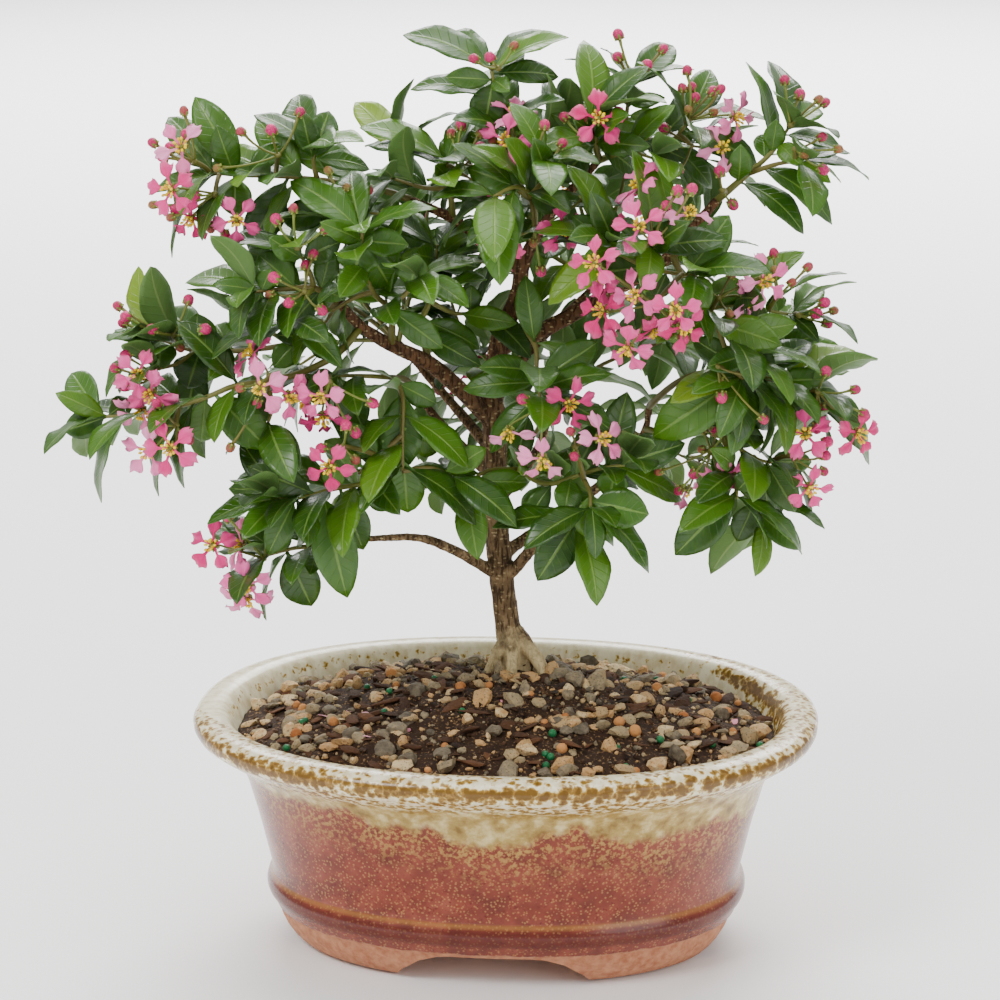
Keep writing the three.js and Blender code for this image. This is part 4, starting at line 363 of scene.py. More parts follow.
# Flower clusters: name, root [x, z, y] on a stem, hub [x, z, y], open blooms [x, z] and buds [x, z]
CLUSTERS = [
  ["flowers_upper_left", [-91, 251.5, -8], [-97, 255, -12], [[-101, 259.5]], [[-100, 271],
    [-99.5, 263.5], [-110, 261], [-104.5, 259.5], [-107, 256.5]]],
  ["flowers_upper_left", [-88, 251, -7], [-91, 245, -16], [[-104, 247], [-98.5, 237.5],
    [-84, 237.5]], [[-97.5, 244.5], [-110.5, 241.5], [-105, 237.5], [-92.5, 234], [-88, 232]]],
  ["flowers_upper_left_top", [-70, 250.5, -4], [-71, 257, -12], [], [[-82.5, 264.5], [-73, 265],
    [-64, 270.5], [-90, 253]]],
  ["flowers_upper_left_under", [-52, 243, -8], [-50.5, 241.5, -18], [], [[-55.5, 252.3],
    [-49.8, 247], [-43, 246], [-37.5, 238.5]]],
  ["flowers_left_top", [-64, 226, -21], [-65.5, 228, -29], [], [[-66.5, 240.5], [-72, 237],
    [-56.5, 234]]],
  ["flowers_left_top", [-63, 215.5, -19], [-63.5, 214, -30], [], [[-63, 222.5], [-60.5, 226],
    [-73, 218.5], [-74.5, 213], [-68.5, 210.5], [-58, 208]]],
  ["flowers_left_far", [-104, 197, -10], [-105, 200, -19], [], [[-122.5, 209.5], [-120, 206],
    [-121, 204], [-112, 202], [-103, 196], [-100, 211.5], [-95, 202]]],
  ["flowers_left_far", [-110, 189.5, -16], [-111, 187, -25], [[-112, 182.5], [-115.5, 189.5],
    [-116, 176]], [[-120.5, 193.5], [-124, 189.5], [-117.5, 185.5], [-121, 183.5]]],
  ["flowers_left_low", [-104, 177, -24], [-105, 171, -32], [[-114, 162.5], [-106, 165.5]],
    [[-110, 171.5], [-101, 166], [-111, 178]]],
  ["flowers_left_mid", [-84, 184, -24], [-75, 187, -36], [[-77.5, 185], [-69, 180.5], [-81, 192]],
    [[-84.5, 183], [-88, 163.5], [-79, 178]]],
  ["flowers_left_mid", [-54, 187, -19], [-56, 185, -34], [[-58, 182], [-58.5, 173], [-64, 177]],
    [[-42.3, 178], [-48, 168.5]]],
  ["flowers_left_front", [-44, 156, -21], [-52, 164, -36], [[-56.3, 157.5]], [[-59, 163.5],
    [-48, 159.5], [-51, 171]]],
  ["flowers_low_left", [-76, 128, -21], [-78, 127, -27], [[-94, 131.5], [-85.5, 130.5], [-83, 119.5],
    [-84, 112.5]], [[-89.5, 141], [-89, 120.5], [-78, 142.5]]],
  ["flowers_apex", [-3, 281, -3], [-2.5, 284, -8], [], [[2.5, 291], [-5, 287.5], [-10, 287]]],
  ["flowers_top_left", [-17, 250, 2], [-15.5, 252.5, -8], [[-4.5, 246]], [[-17, 264], [-12, 258.5],
    [-8, 264], [-14, 266.5], [-8, 259.5]]],
  ["flowers_top_mid", [4, 253, 2], [6, 253, -12], [[0, 261.5], [2.5, 268.5]], [[-4, 261.5]]],
  ["flowers_top_mid", [11, 249, -19], [9.5, 251.5, -26], [], [[12, 266.5], [17.5, 260.8]]],
  ["flowers_top_centre", [27, 264, -8], [24.5, 262.5, -15], [[28.5, 269]], [[18, 269], [24, 268.5]]],
  ["flowers_top_spray", [39, 278.5, 7], [39.5, 280, 2], [], [[34.5, 294.5], [34.5, 287.5],
    [43.5, 285], [48.5, 290]]],
  ["flowers_top_right", [55.5, 266.5, 5], [56.5, 268, 0], [[71, 269]], [[56, 283.5], [54.5, 278],
    [57.5, 278.3], [58.7, 275], [64, 277], [66.5, 277.7], [56.5, 271.3], [64.5, 270.5]]],
  ["flowers_top_right", [55, 257, 14], [57.5, 260, 4], [[67, 260]], [[49, 265.5], [48, 260.3],
    [52, 260.3], [53.5, 252]]],
  ["flowers_right_tip", [87.8, 265, -4], [88.5, 266.5, -9], [], [[86.3, 280.5], [91, 276],
    [97, 274.5], [99, 273.5]]],
  ["flowers_right_tip", [85, 260, -4], [90, 259, -14], [], [[98.3, 262.8], [93, 257.2], [103.5, 259],
    [99, 252.5]]],
  ["flowers_right_upper", [45.5, 227, -30], [46, 229.5, -39], [[41.5, 235.5], [57, 238.5],
    [42, 246]], [[52, 230.5], [53.5, 246], [58, 246.5], [50, 241.2]]],
  ["flowers_right_limb", [68, 245.5, -2], [67.5, 246, -9], [], [[66.5, 252], [71, 241.5]]],
  ["flowers_centre_top", [9.5, 238, -12], [9, 234, -20], [[17, 234.5], [-2, 228]], [[8.5, 229.5],
    [11, 220.5], [25, 244]]],
  ["flowers_right_front", [51, 220, -25], [47, 210, -44], [[28, 223], [41, 213], [31, 206.5],
    [47.5, 200.8], [55.5, 203.5], [38.5, 197], [32, 216], [53, 210]], [[56, 199]]],
  ["flowers_right_front", [66, 211, -17], [67, 212, -28], [[81, 217.5], [76, 210.5]], [[63, 216.7],
    [71, 220], [70.5, 207]]],
  ["flowers_right_far", [84, 208, -10], [86, 213, -16], [], [[95, 222], [90, 217], [84, 226.5],
    [84.5, 221]]],
  ["flowers_right_far", [91, 206.5, -8], [92.5, 206.5, -13], [], [[100.5, 210.5], [103.5, 208],
    [101.5, 203.8], [98, 207]]],
  ["flowers_centre", [10.8, 180, -19], [12, 177, -29], [[1, 169], [11.5, 161], [20, 178]],
    [[5.3, 179.3], [15, 173]]],
  ["flowers_centre", [16.5, 152.5, -14], [22, 164, -32], [[30, 167.5]], [[20.5, 169],
    [21.8, 160.8]]],
  ["flowers_right_low_a", [72, 191, -26], [67, 190, -38], [], [[68, 185], [68.5, 180], [79, 187],
    [82, 172.8]]],
  ["flowers_right_low_b", [66, 170.5, -7], [65.5, 163, -22], [[69, 154.5]], [[48.8, 155.8],
    [55.3, 149.5], [60, 155], [62, 148.5], [62.5, 163], [63, 169.5], [67, 168.8], [70.5, 172]]],
  ["flowers_right_low_c", [84, 159.5, -17], [91, 161, -24], [[97, 150.5], [95.5, 168]],
    [[101.5, 155.8], [102, 161], [102.5, 165.5]]],
  ["flowers_right_outer", [96.5, 182.3, -16], [99, 182, -24], [[112, 168.5]], [[111, 182.5],
    [114, 174.8], [100.5, 176.5], [101.5, 188.5], [99, 170]]],
  ["flowers_centre_back", [-8, 172.5, 73], [-9, 180, 82], [[-16, 184], [-4, 190]], [[-12, 194],
    [-2, 178]]],
  ["flowers_back_left", [-34, 226, 67], [-36, 228, 76], [[-44, 236], [-30, 240]], [[-40, 222],
    [-28, 230], [-36, 244]]],
  ["flowers_back_right", [26, 232, 60], [28, 234, 70], [[36, 242], [20, 246]], [[30, 228], [18, 236],
    [40, 234]]],
  ["flowers_back_low", [57, 160.5, 62], [62, 160, 70], [[70, 166], [58, 150]], [[72, 156],
    [64, 172]]],
]


pot_low, pot_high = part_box("pot")
POT_CENTRE = ((pot_low[0] + pot_high[0]) / 2, (pot_low[1] + pot_high[1]) / 2)


def vec(x, y, z):
    return np.array((x, y, z), dtype=float)


UP = vec(0, 0, 1)
VIEWER = vec(0, -1, 0.25) / math.hypot(1, 0.25)


def unit(v):
    length = math.sqrt(float(v @ v))
    return v / length if length > 1e-12 else v * 0


def turned(point, axis, angle):
    """point turned about an axis through the origin"""
    axis = unit(axis)
    c, s = math.cos(angle), math.sin(angle)
    return point * c + np.cross(axis, point) * s + axis * (axis @ point) * (1 - c)


def draws(seed):
    """Seeded draws between 0 and 1"""
    state = [seed & 0xFFFFFFFF]

    def draw():
        state[0] = (state[0] + 0x6D2B79F5) & 0xFFFFFFFF
        t = state[0]
        t = ((t ^ (t >> 15)) * (t | 1)) & 0xFFFFFFFF
        t ^= (t + (((t ^ (t >> 7)) * (t | 61)) & 0xFFFFFFFF)) & 0xFFFFFFFF
        return ((t ^ (t >> 14)) & 0xFFFFFFFF) / 4294967296

    return draw


def front(x, z, y):
    """A point seen at x, z on the front plane, moved along the line of sight to depth y"""
    scale = 1 + y / EYE_DISTANCE
    return vec(EYE_X + (x - EYE_X) * scale, y, EYE_HEIGHT + (z - EYE_HEIGHT) * scale)


def path_through(points, step):
    """Smooth path through points, sampled every few millimetres"""
    points = [np.array(p, dtype=float) for p in points]
    length = sum(math.dist(a, b) for a, b in zip(points, points[1:]))
    count = max(2, math.ceil(length / step))
    last = len(points) - 1
    out = []
    for k in range(count + 1):
        place = last * (k / count)
        i = min(int(math.floor(place)), last)
        w = place - i
        if w == 0 and i == last:
            i, w = last - 1, 1.0
        p1, p2 = points[i % len(points)], points[(i + 1) % len(points)]
        p0 = points[i - 1] if i > 0 else points[0] - points[1] + points[0]
        p3 = points[i + 2] if i + 2 < len(points) else points[last] - points[last - 1] + points[last]
        t1, t2 = 0.5 * (p2 - p0), 0.5 * (p3 - p1)
        square, cube = -3 * p1 + 3 * p2 - 2 * t1 - t2, 2 * p1 - 2 * p2 + t1 + t2
        out.append(p1 + t1 * w + square * w * w + cube * w * w * w)
    return out


class PointCells:
    """A bag of points with their owners, searched by cells"""

    def __init__(self, size):
        self.size = size
        self.cells = {}

    def place(self, point):
        return tuple(int(math.floor(value / self.size)) for value in point)

    def add(self, point, owner):
        self.cells.setdefault(self.place(point), []).append((point, owner))

    def hits(self, point, owner):
        i, j, k = self.place(point)
        count = 0
        for a in (i - 1, i, i + 1):
            for b in (j - 1, j, j + 1):
                for c in (k - 1, k, k + 1):
                    for other, whose in self.cells.get((a, b, c), ()):
                        if whose != owner and math.dist(other, point) < self.size:
                            count += 1
        return count


def nearest_point(paths, target):
    best = None
    for path in paths:
        for point in path:
            distance = float((point - target) @ (point - target))
            if best is None or distance < best[0]:
                best = (distance, point)
    return best[1]


def nearest_seen(paths, x, z):
    """The point of a set of paths nearest to a point seen from the front"""
    best = None
    for path in paths:
        for point in path:
            scale = 1 + point[1] / EYE_DISTANCE
            dx = EYE_X + (point[0] - EYE_X) / scale - x
            dz = EYE_HEIGHT + (point[2] - EYE_HEIGHT) / scale - z
            distance = dx * dx + dz * dz
            if best is None or distance < best[0]:
                best = (distance, point)
    return best[1]


class Leaf:
    """A blade from base to tip, its full width, the way its upper side faces and its arch"""

    def __init__(self, base, tip, width, face, arch, extra=False):
        self.base, self.tip, self.width = base, tip, width
        self.face, self.arch, self.extra = face, arch, extra
        self.side = unit(np.cross(face, tip - base))

    def point(self, share):
        line = self.base + (self.tip - self.base) * share
        return line + self.face * (4 * self.arch * share * (1 - share))

    def samples(self):
        """Points over the blade, by which leaves keep clear of each other"""
        out = []
        for share, filled in LEAF_SAMPLES:
            middle = self.point(share)
            half = (self.width / 2) * filled
            out += [middle + self.side * across for across in (-half, 0, half)]
        return out


def seen_leaf(paths, row, depth, draw):
    """Leaf seen from the front; its real width turns away from the viewer to show as given"""
    base_x, base_z, tip_x, tip_z, width = row
    base = nearest_seen(paths, base_x, base_z)
    tip = front(tip_x, tip_z, base[1] + depth)
    along = tip - base
    length = math.sqrt(float(along @ along))
    along = along / length
    real = max(width, LEAF_LEAST_SHARE * length)
    turn = min(1, width / real)
    face = unit(VIEWER - along * (VIEWER @ along))
    side = np.cross(along, face)
    if side[2] < 0:
        side = -side
    face = unit(face * turn + side * math.sqrt(1 - turn * turn))
    return Leaf(base, tip, real, face, length * (0.05 + 0.09 * draw))


def pair_leaf(base, along, turn, size, draw, extra=False):
    """Leaf of a rule-made pair: away from the stem on one side, rising a little and arching over"""
    level = np.cross(along, UP)
    if math.sqrt(float(level @ level)) < 0.2:
        level = vec(1, 0, 0)
    level = unit(level)
    rise = unit(np.cross(level, along))
    out = level * math.cos(turn) + rise * math.sin(turn)
    way = unit(out * 0.85 + along * 0.5 + UP * -0.12)
    length = size * (0.8 + 0.35 * draw)
    tip = base + way * length
    outward = unit(vec(base[0], base[1] - TRUNK_DEPTH, 0))
    face = UP * 0.8 + outward * 0.45
    face = unit(face - way * (face @ way))
    return Leaf(base, tip, length * LEAF_WIDTH_SHARE, face, length * 0.1, extra)


# The trunk, its limbs and the green stems
limb_paths = [path_through([front(*row) for row in rows], LIMB_STEP) for _, _, rows in LIMBS]
foot = limb_paths[0][0]
trunk_path = [vec(foot[0], foot[1], z) for z in FOOT_HEIGHTS] + limb_paths[0][1:]

sprays = []
for name, stem_rows, seen_rows in SPRAYS:
    stems = []
    for i, (bare, scale, rows) in enumerate(stem_rows):
        points = [front(*row) for row in rows]
        points[0] = nearest_point([stems[0]["path"]] if i else limb_paths, points[0])
        path = path_through(points, STEM_STEP)
        radii = SIDE_STEM if i else MAIN_STEM
        stems.append({"bare": bare, "scale": scale, "path": path, "radii": radii})
    sprays.append({"name": name, "stems": stems, "seen": seen_rows, "leaves": []})

all_stem_paths = [
    path_through(path, 3)
    for path in limb_paths + [stem["path"] for spray in sprays for stem in spray["stems"]]
]

# Flower clusters, rows of one name being joined at their hubs
bloom_centres = []


def clear_depth(centre):
    """A bloom moves by the first of BLOOM_DEPTHS that leaves it clear of the blooms before it"""
    for extra in BLOOM_DEPTHS:
        if all(
            math.hypot(other[0] - centre[0], other[2] - centre[2]) > 1.8 * BLOOM_RADIUS
            or abs(other[1] - centre[1] - extra) > BLOOM_ROOM
            for other in bloom_centres
        ):
            return extra
    return 0


clusters = {}
for index, (name, root, hub, blooms, buds) in enumerate(CLUSTERS):
    draw = draws(SEED * 1000 + index)
    hub_point = front(*hub)
    behind = hub[2] > BACK_DEPTH
    away = 1 if behind else -1
    root_point = nearest_point(all_stem_paths, hub_point + (front(*root) - hub_point) * 0.25)

    def item(at):
        return front(at[0], at[1], hub[2] + away * (draw() * 9 - 3))

    flowers = []
    for at in blooms:
        centre = item(at)
        centre[1] += clear_depth(centre)
        aside = math.hypot(centre[0] - hub_point[0], centre[2] - hub_point[2])
        reach = math.sqrt(max(0, BLOOM_STALK**2 - aside**2))
        if abs(centre[1] - hub_point[1]) < reach:
            centre[1] = hub_point[1] + away * reach
        bloom_centres.append(centre)
        outward = unit(centre - hub_point)
        facing = vec(draw() * 0.9 - 0.45, 0.9 if behind else -0.9, draw() * 0.8 - 0.35)
        facing = unit(facing + outward * 0.45)
        facing = unit(facing + outward * max(0, MOST_TWIST - facing @ outward))
        turn = draw() * 6.28
        radius = BLOOM_RADIUS * (0.88 + 0.2 * draw())
        flowers.append(
            {"centre": centre, "facing": facing, "foot": hub_point, "turn": turn, "radius": radius}
        )
    knobs = [{"centre": item(at), "foot": hub_point} for at in buds]
    row = {"root": root_point, "hub": hub_point, "flowers": flowers, "knobs": knobs}
    clusters.setdefault(name, []).append(row)

spacing = PointCells(LEAF_CLEARANCE)
for path in limb_paths:
    for point in path_through(path, 5):
        spacing.add(point, "trunk")
for spray in sprays:
    for stem in spray["stems"]:
        for point in path_through(stem["path"], 5)[2:]:
            spacing.add(point, spray["name"] + "/stem")
for name, rows in clusters.items():
    for row in rows:
        for flower in row["flowers"]:
            for dx, dz in BLOOM_SAMPLES:
                spacing.add(flower["centre"] + vec(dx, 0, dz), name)
        by_reach = sorted(row["knobs"], key=lambda knob: -math.dist(knob["centre"], row["hub"]))
        for knob in by_reach[: math.ceil(len(by_reach) * CAD_BUD_SHARE)]:
            spacing.add(knob["centre"], name)


def in_box(leaf):
    """Whether a leaf's tip lies within the solids' box, by a small margin"""
    c, s = math.cos(TREE_YAW), math.sin(TREE_YAW)
    x, y, z = leaf.tip
    spot = (x * c - y * s + POT_CENTRE[0] / MM, x * s + y * c + POT_CENTRE[1] / MM, z)
    low, high = cad_box
    return all(low[i] / MM - 1 < spot[i] < high[i] / MM + 1 for i in range(3))


def seen_at(point):
    """Where a point shows on the upright plane through the pot's centre"""
    share = EYE_DISTANCE / (EYE_DISTANCE + point[1])
    return EYE_X + (point[0] - EYE_X) * share, EYE_HEIGHT + (point[2] - EYE_HEIGHT) * share


open_wood = []
for number in OPEN_LIMBS:
    for point in path_through(limb_paths[number], 3):
        open_wood.append((*seen_at(point), point[1]))
open_wood = np.array(open_wood)


def in_the_open(leaf):
    """Whether a leaf leaves the gaps below the crown and the main limbs free, as seen from the front"""
    for point in [*leaf.samples(), leaf.tip]:
        x, z = seen_at(point)
        if any(left < x < right and low < z < high for left, low, right, high in GAPS):
            return False
        near = np.hypot(open_wood[:, 0] - x, open_wood[:, 1] - z) < WOOD_CLEARANCE
        if np.any(near & (open_wood[:, 2] > point[1])):
            return False
    return True


def choose_leaf(owner, candidates, most_hits):
    """The first candidate that nothing is near, or the best of them if it is near few enough"""
    best = None
    for leaf in candidates:
        hits = sum(spacing.hits(point, owner + "/stem") for point in leaf.samples())
        if best is None or hits < best[0]:
            best = (hits, leaf)
        if best[0] == 0:
            break
    if best[0] > most_hits:
        return None
    for point in best[1].samples():
        spacing.add(point, owner)
    return best[1]


for index, spray in enumerate(sprays):
    draw = draws(SEED * 100 + index)
    paths = [path_through(stem["path"], 4)[2:-1] for stem in spray["stems"]]
    for row in spray["seen"]:
        depth = draw() * 14 - 8
        arch = draw()
        candidates = [seen_leaf(paths, row, depth + extra, arch) for extra in SEEN_DEPTHS]
        leaf = choose_leaf(spray["name"], candidates, SEEN_LEAF_HITS)
        if leaf:
            spray["leaves"].append(leaf)


def pairs_along(spray, index, seed, gap, most_hits, extra):
    """Leaf pairs at even distances along each stem of a spray, from its tip down to its bare part"""
    draw = draws(seed + index)
    for stem in spray["stems"]:
        path = stem["path"]
        lengths = [0.0]
        for a, b in zip(path, path[1:]):
            lengths.append(lengths[-1] + math.dist(a, b))
        whole = lengths[-1]
        pairs = max(1, int(math.floor(whole * (1 - stem["bare"]) / gap + 0.5)))
        for pair in range(pairs):
            distance = whole * (1 - (1 - stem["bare"]) * pair / pairs)
            i = max(1, next(k for k, length in enumerate(lengths) if length >= distance - 1e-6))
            share = (distance - lengths[i - 1]) / (lengths[i] - lengths[i - 1])
            base = path[i - 1] + (path[i] - path[i - 1]) * min(share, 0.88)
            along = unit(path[i] - path[i - 1])
            for way in (0, math.pi):
                turn = way + (1.1 if pair % 2 else 0.35) + (draw() - 0.5) * 0.6
                size = draw()
                length = LEAF_LENGTH * stem["scale"]
                tried = [pair_leaf(base, along, turn + more, length, size, extra) for more in PAIR_TURNS]
                if extra:
                    tried = [leaf for leaf in tried if in_box(leaf) and in_the_open(leaf)]
                leaf = choose_leaf(spray["name"], tried, most_hits) if tried else None
                if leaf:
                    spray["leaves"].append(leaf)


for index, spray in enumerate(sprays):
    pairs_along(spray, index, SEED * 200, CAD_PAIR_SPACING, PAIR_LEAF_HITS, False)
for name, rows in clusters.items():
    for row in rows:
        for knob in row["knobs"]:
            spacing.add(knob["centre"], name)
for index, spray in enumerate(sprays):
    pairs_along(spray, index, SEED * 300, PAIR_SPACING, EXTRA_LEAF_HITS, True)


class Bag:
    """Vertices, faces and per-vertex values of many small shapes that become one piece"""

    def __init__(self):
        self.verts, self.faces, self.slots, self.count = [], [], [], 0
        self.values = {"along": [], "across": [], "tint": [], "under": []}

    def add(self, verts, faces, slot=0, **values):
        verts = np.asarray(verts, dtype=float)
        self.verts.append(verts)
        self.faces += [tuple(i + self.count for i in face) for face in faces]
        self.slots += [slot] * len(faces)
        for key, held in self.values.items():
            held.append(np.broadcast_to(np.asarray(values.get(key, 0.0), dtype=float), len(verts)))
        self.count += len(verts)

    def piece(self, name, materials, slot, nodes=(), in_tree=True, smooth=True):
        points = np.vstack(self.verts)
        c, s = (math.cos(TREE_YAW), math.sin(TREE_YAW)) if in_tree else (1.0, 0.0)
        x, y, z = points.T
        moved = np.stack((x * c - y * s, x * s + y * c, z), axis=1) * MM
        moved[:, 0] += POT_CENTRE[0]
        moved[:, 1] += POT_CENTRE[1]
        mesh = bpy.data.meshes.new(name)
        mesh.from_pydata(moved.tolist(), [], self.faces)
        for key, held in self.values.items():
            layer = mesh.attributes.new(key, "FLOAT", "POINT")
            layer.data.foreach_set("value", np.concatenate(held).astype(np.float32))
        for material in materials:
            mesh.materials.append(material)
        mesh.polygons.foreach_set("material_index", np.array(self.slots, dtype=np.int32))
        mesh.polygons.foreach_set("use_smooth", [smooth] * len(self.faces))
        mesh.update()
        obj = bpy.data.objects.new(name, mesh)
        bpy.context.scene.collection.objects.link(obj)
        finish_piece(obj, nodes)
        return obj


def finish_piece(obj, nodes=()):
    """Hides the solids that a piece stands for; everything is one body"""
    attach(obj, "root")
    if nodes:
        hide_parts(*nodes)


def grid_faces(rows, columns, closed=False, start=0, flip=False):
    """Quads of a grid of rows by columns; closed joins the last column to the first"""
    faces = []
    for i in range(rows - 1):
        for j in range(columns if closed else columns - 1):
            a = start + i * columns + j
            b = start + i * columns + (j + 1) % columns
            face = (a, b, b + columns, a + columns)
            faces.append(face[::-1] if flip else face)
    return faces


def add_tube(bag, path, radii, sides=8, tint=0.0, slot=0, bulge=None):
    """Closed tube along a path with a radius at each point"""
    path = [np.asarray(p, dtype=float) for p in path]
    side = vec(0, 0, 0)
    across = unit(vec(0.1, 1, 0.13))
    rows, alongs = [], []
    for i, point in enumerate(path):
        way = unit(path[min(i + 1, len(path) - 1)] - path[max(i - 1, 0)])
        side = unit(np.cross(way, across))
        across = unit(np.cross(side, way))
        for k in range(sides):
            angle = 2 * math.pi * k / sides
            r = radii[i] * (bulge(angle, point) if bulge else 1)
            rows.append(point + side * (r * math.cos(angle)) + across * (r * math.sin(angle)))
        alongs += [i / (len(path) - 1)] * sides
    faces = grid_faces(len(path), sides, closed=True, flip=True)
    last = (len(path) - 1) * sides
    faces.append(tuple(range(sides)))
    faces.append(tuple(last + k for k in range(sides))[::-1])
    bag.add(rows, faces, slot, along=alongs, tint=tint)


def taper(path, start, end):
    """Radii that change evenly along a path"""
    return [start + (end - start) * i / (len(path) - 1) for i in range(len(path))]


def add_sheet(bag, top, bottom, rows, columns, alongs, acrosses, tint, flip=False):
    """Closed two-sided sheet of two grids of points and the rim between them"""
    n = rows * columns
    rim = []
    for i in range(rows - 1):
        a, b = i * columns, (i + 1) * columns
        rim.append((a, b, b + n, a + n))
        a, b = a + columns - 1, b + columns - 1
        rim.append((b, a, a + n, b + n))
    for j in range(columns - 1):
        rim.append((j + 1, j, j + n, j + 1 + n))
        a = (rows - 1) * columns + j
        rim.append((a, a + 1, a + 1 + n, a + n))
    if flip:
        rim = [(b, a, d, c) for a, b, c, d in rim]
    faces = grid_faces(rows, columns, flip=flip) + grid_faces(rows, columns, start=n, flip=not flip)
    under = [0.0] * n + [1.0] * n
    bag.add(top + bottom, faces + rim, along=alongs * 2, across=acrosses * 2, tint=tint, under=under)


def add_blade(bag, point, side, half_width, face_at, rows, columns, thickness, tint, lift):
    """Thin two-sided blade: point(t) its middle line, side(t) its sideways way, lift(t, s) its relief"""
    top, bottom, alongs, acrosses = [], [], [], []
    for i in range(rows):
        t = i / (rows - 1)
        middle, sideways, half, face = point(t), side(t), half_width(t), face_at(t)
        for j in range(columns):
            s = 2 * j / (columns - 1) - 1
            place = middle + sideways * (s * half) + face * lift(t, s)
            rim = 1 - 0.75 * abs(s) ** 6
            top.append(place + face * (thickness / 2 * rim))
            bottom.append(place - face * (thickness / 2 * rim))
            alongs.append(t)
            acrosses.append(s)
    add_sheet(bag, top, bottom, rows, columns, alongs, acrosses, tint)


LEAF_ROWS, LEAF_COLUMNS = 13, 7
PETIOLE = 0.07
LEAF_SHEET = 0.32


def add_leaf(bag, leaf, draw, tint):
    """One blade with a folded midrib, waved rim, drawn-out tip and a short stalk"""
    length = math.dist(leaf.base, leaf.tip)
    fold, wave, phase = 0.1 + 0.16 * draw(), 0.05 + 0.08 * draw(), 6.28 * draw()
    twist, droop = (draw() - 0.5) * 0.5, (0.02 + 0.06 * draw()) * length
    full = 0.5 * leaf.width
    axis = unit(leaf.tip - leaf.base)

    def half(t):
        if t <= PETIOLE:
            return 0.45
        u = (t - PETIOLE) / (1 - PETIOLE)
        belly = max(0.0, math.sin(math.pi * u**1.02)) ** 0.7
        return max(0.16, full * belly)

    def middle(t):
        return leaf.point(t) - leaf.face * (droop * t**3)

    def side(t):
        return turned(leaf.side, axis, twist * (t - 0.3))

    def face(t):
        return turned(leaf.face, axis, twist * (t - 0.3))

    def lift(t, s):
        h = half(t)
        edge = abs(s) ** 1.3 * fold * h - 0.35 * fold * h
        return edge + wave * h * s * s * math.sin(15 * t + phase + (1.7 if s > 0 else 0))

    add_blade(bag, middle, side, half, face, LEAF_ROWS, LEAF_COLUMNS, LEAF_SHEET, tint, lift)


def add_ball(bag, centre, axis, radius, length, tint, slot=0, sides=10, rows=7, lobes=None):
    """Closed round body on an axis, longer or shorter than it is wide"""
    axis = unit(axis)
    x = unit(np.cross(axis, vec(0.3, 0.2, 1)))
    y = np.cross(axis, x)
    verts, alongs = [], []
    for i in range(rows):
        lat = math.pi * (i + 0.5) / rows
        r, h = radius * math.sin(lat), -length * math.cos(lat)
        for k in range(sides):
            angle = 2 * math.pi * k / sides
            grow = lobes(angle, i / (rows - 1)) if lobes else 1
            verts.append(centre + axis * h + (x * math.cos(angle) + y * math.sin(angle)) * (r * grow))
            alongs.append(i / (rows - 1))
    faces = grid_faces(rows, sides, closed=True, flip=True)
    verts.append(centre - axis * length)
    verts.append(centre + axis * length)
    low, high = len(verts) - 2, len(verts) - 1
    for k in range(sides):
        faces.append((low, k, (k + 1) % sides))
        a = (rows - 1) * sides
        faces.append((high, a + (k + 1) % sides, a + k))
    bag.add(verts, faces, slot, along=alongs + [0, 1], tint=tint)


PETAL_ROWS, PETAL_COLUMNS = 8, 9
PETAL_HALF_SHEET = 0.09
PETALS = 5
STAMENS = 10
CLAW_SHARE, CLAW_HALF_WIDTH = 0.42, 0.42


def add_petal(bag, root, out, facing, length, draw, tint):
    """Clawed petal that opens into a crinkled, fringed fan"""
    side = unit(np.cross(facing, out))
    cup, phase, tilt = 0.15 + 0.45 * draw(), 6.28 * draw(), 0.5 * (draw() - 0.5)
    spread = 0.95 + 0.25 * draw()
    width = length * 0.3 * spread
    teeth = [0.78 + 0.26 * draw() for _ in range(PETAL_COLUMNS)]

    def half(t):
        if t < CLAW_SHARE:
            return CLAW_HALF_WIDTH
        u = (t - CLAW_SHARE) / (1 - CLAW_SHARE)
        opened = math.sin(math.pi * 0.5 * min(1, u * 1.4)) * (1 - 0.2 * u**4)
        return CLAW_HALF_WIDTH + (width - CLAW_HALF_WIDTH) * opened

    top, bottom, alongs, acrosses = [], [], [], []
    for i in range(PETAL_ROWS):
        t = i / (PETAL_ROWS - 1)
        for j in range(PETAL_COLUMNS):
            s = 2 * j / (PETAL_COLUMNS - 1) - 1
            round_off = 1 - 0.2 * s * s
            reach = t * round_off if t > CLAW_SHARE else t
            if i == PETAL_ROWS - 1:
                reach *= teeth[j]
            h = half(t)
            ruffle = 0.12 * length * t * t * math.sin(5.2 * s + phase) * (0.4 + abs(s))
            rise = cup * length * (0.34 * math.sin(2.6 * t) - 0.25 * t * t) + ruffle
            rise += cup * 0.35 * h * s * s
            turned_side = side * math.cos(tilt * t) + facing * math.sin(tilt * t)
            place = root + out * (length * reach) + turned_side * (s * h) + facing * rise
            top.append(place + facing * PETAL_HALF_SHEET)
            bottom.append(place - facing * PETAL_HALF_SHEET)
            alongs.append(t)
            acrosses.append(s)
    add_sheet(bag, top, bottom, PETAL_ROWS, PETAL_COLUMNS, alongs, acrosses, tint, flip=True)


def curve_points(points, count):
    """Quadratic curve through three points"""
    a, b, c = points
    ctrl = 2 * b - 0.5 * (a + c)
    out = []
    for i in range(count):
        t = i / (count - 1)
        out.append(a * (1 - t) ** 2 + ctrl * (2 * t * (1 - t)) + c * t * t)
    return out


# Material slots of a flower piece after its petals: green parts, golden anthers and pink buds
GREEN, GOLD, BUD = 1, 2, 3
SEPALS = 5
BLOOM_STALK_RADII = (0.62, 0.5, 0.4, 0.38, 0.38, 0.38, 0.4, 0.42, 0.46)
BUD_STALK_RADII = (0.45, 0.38, 0.36, 0.36, 0.38, 0.42, 0.62)


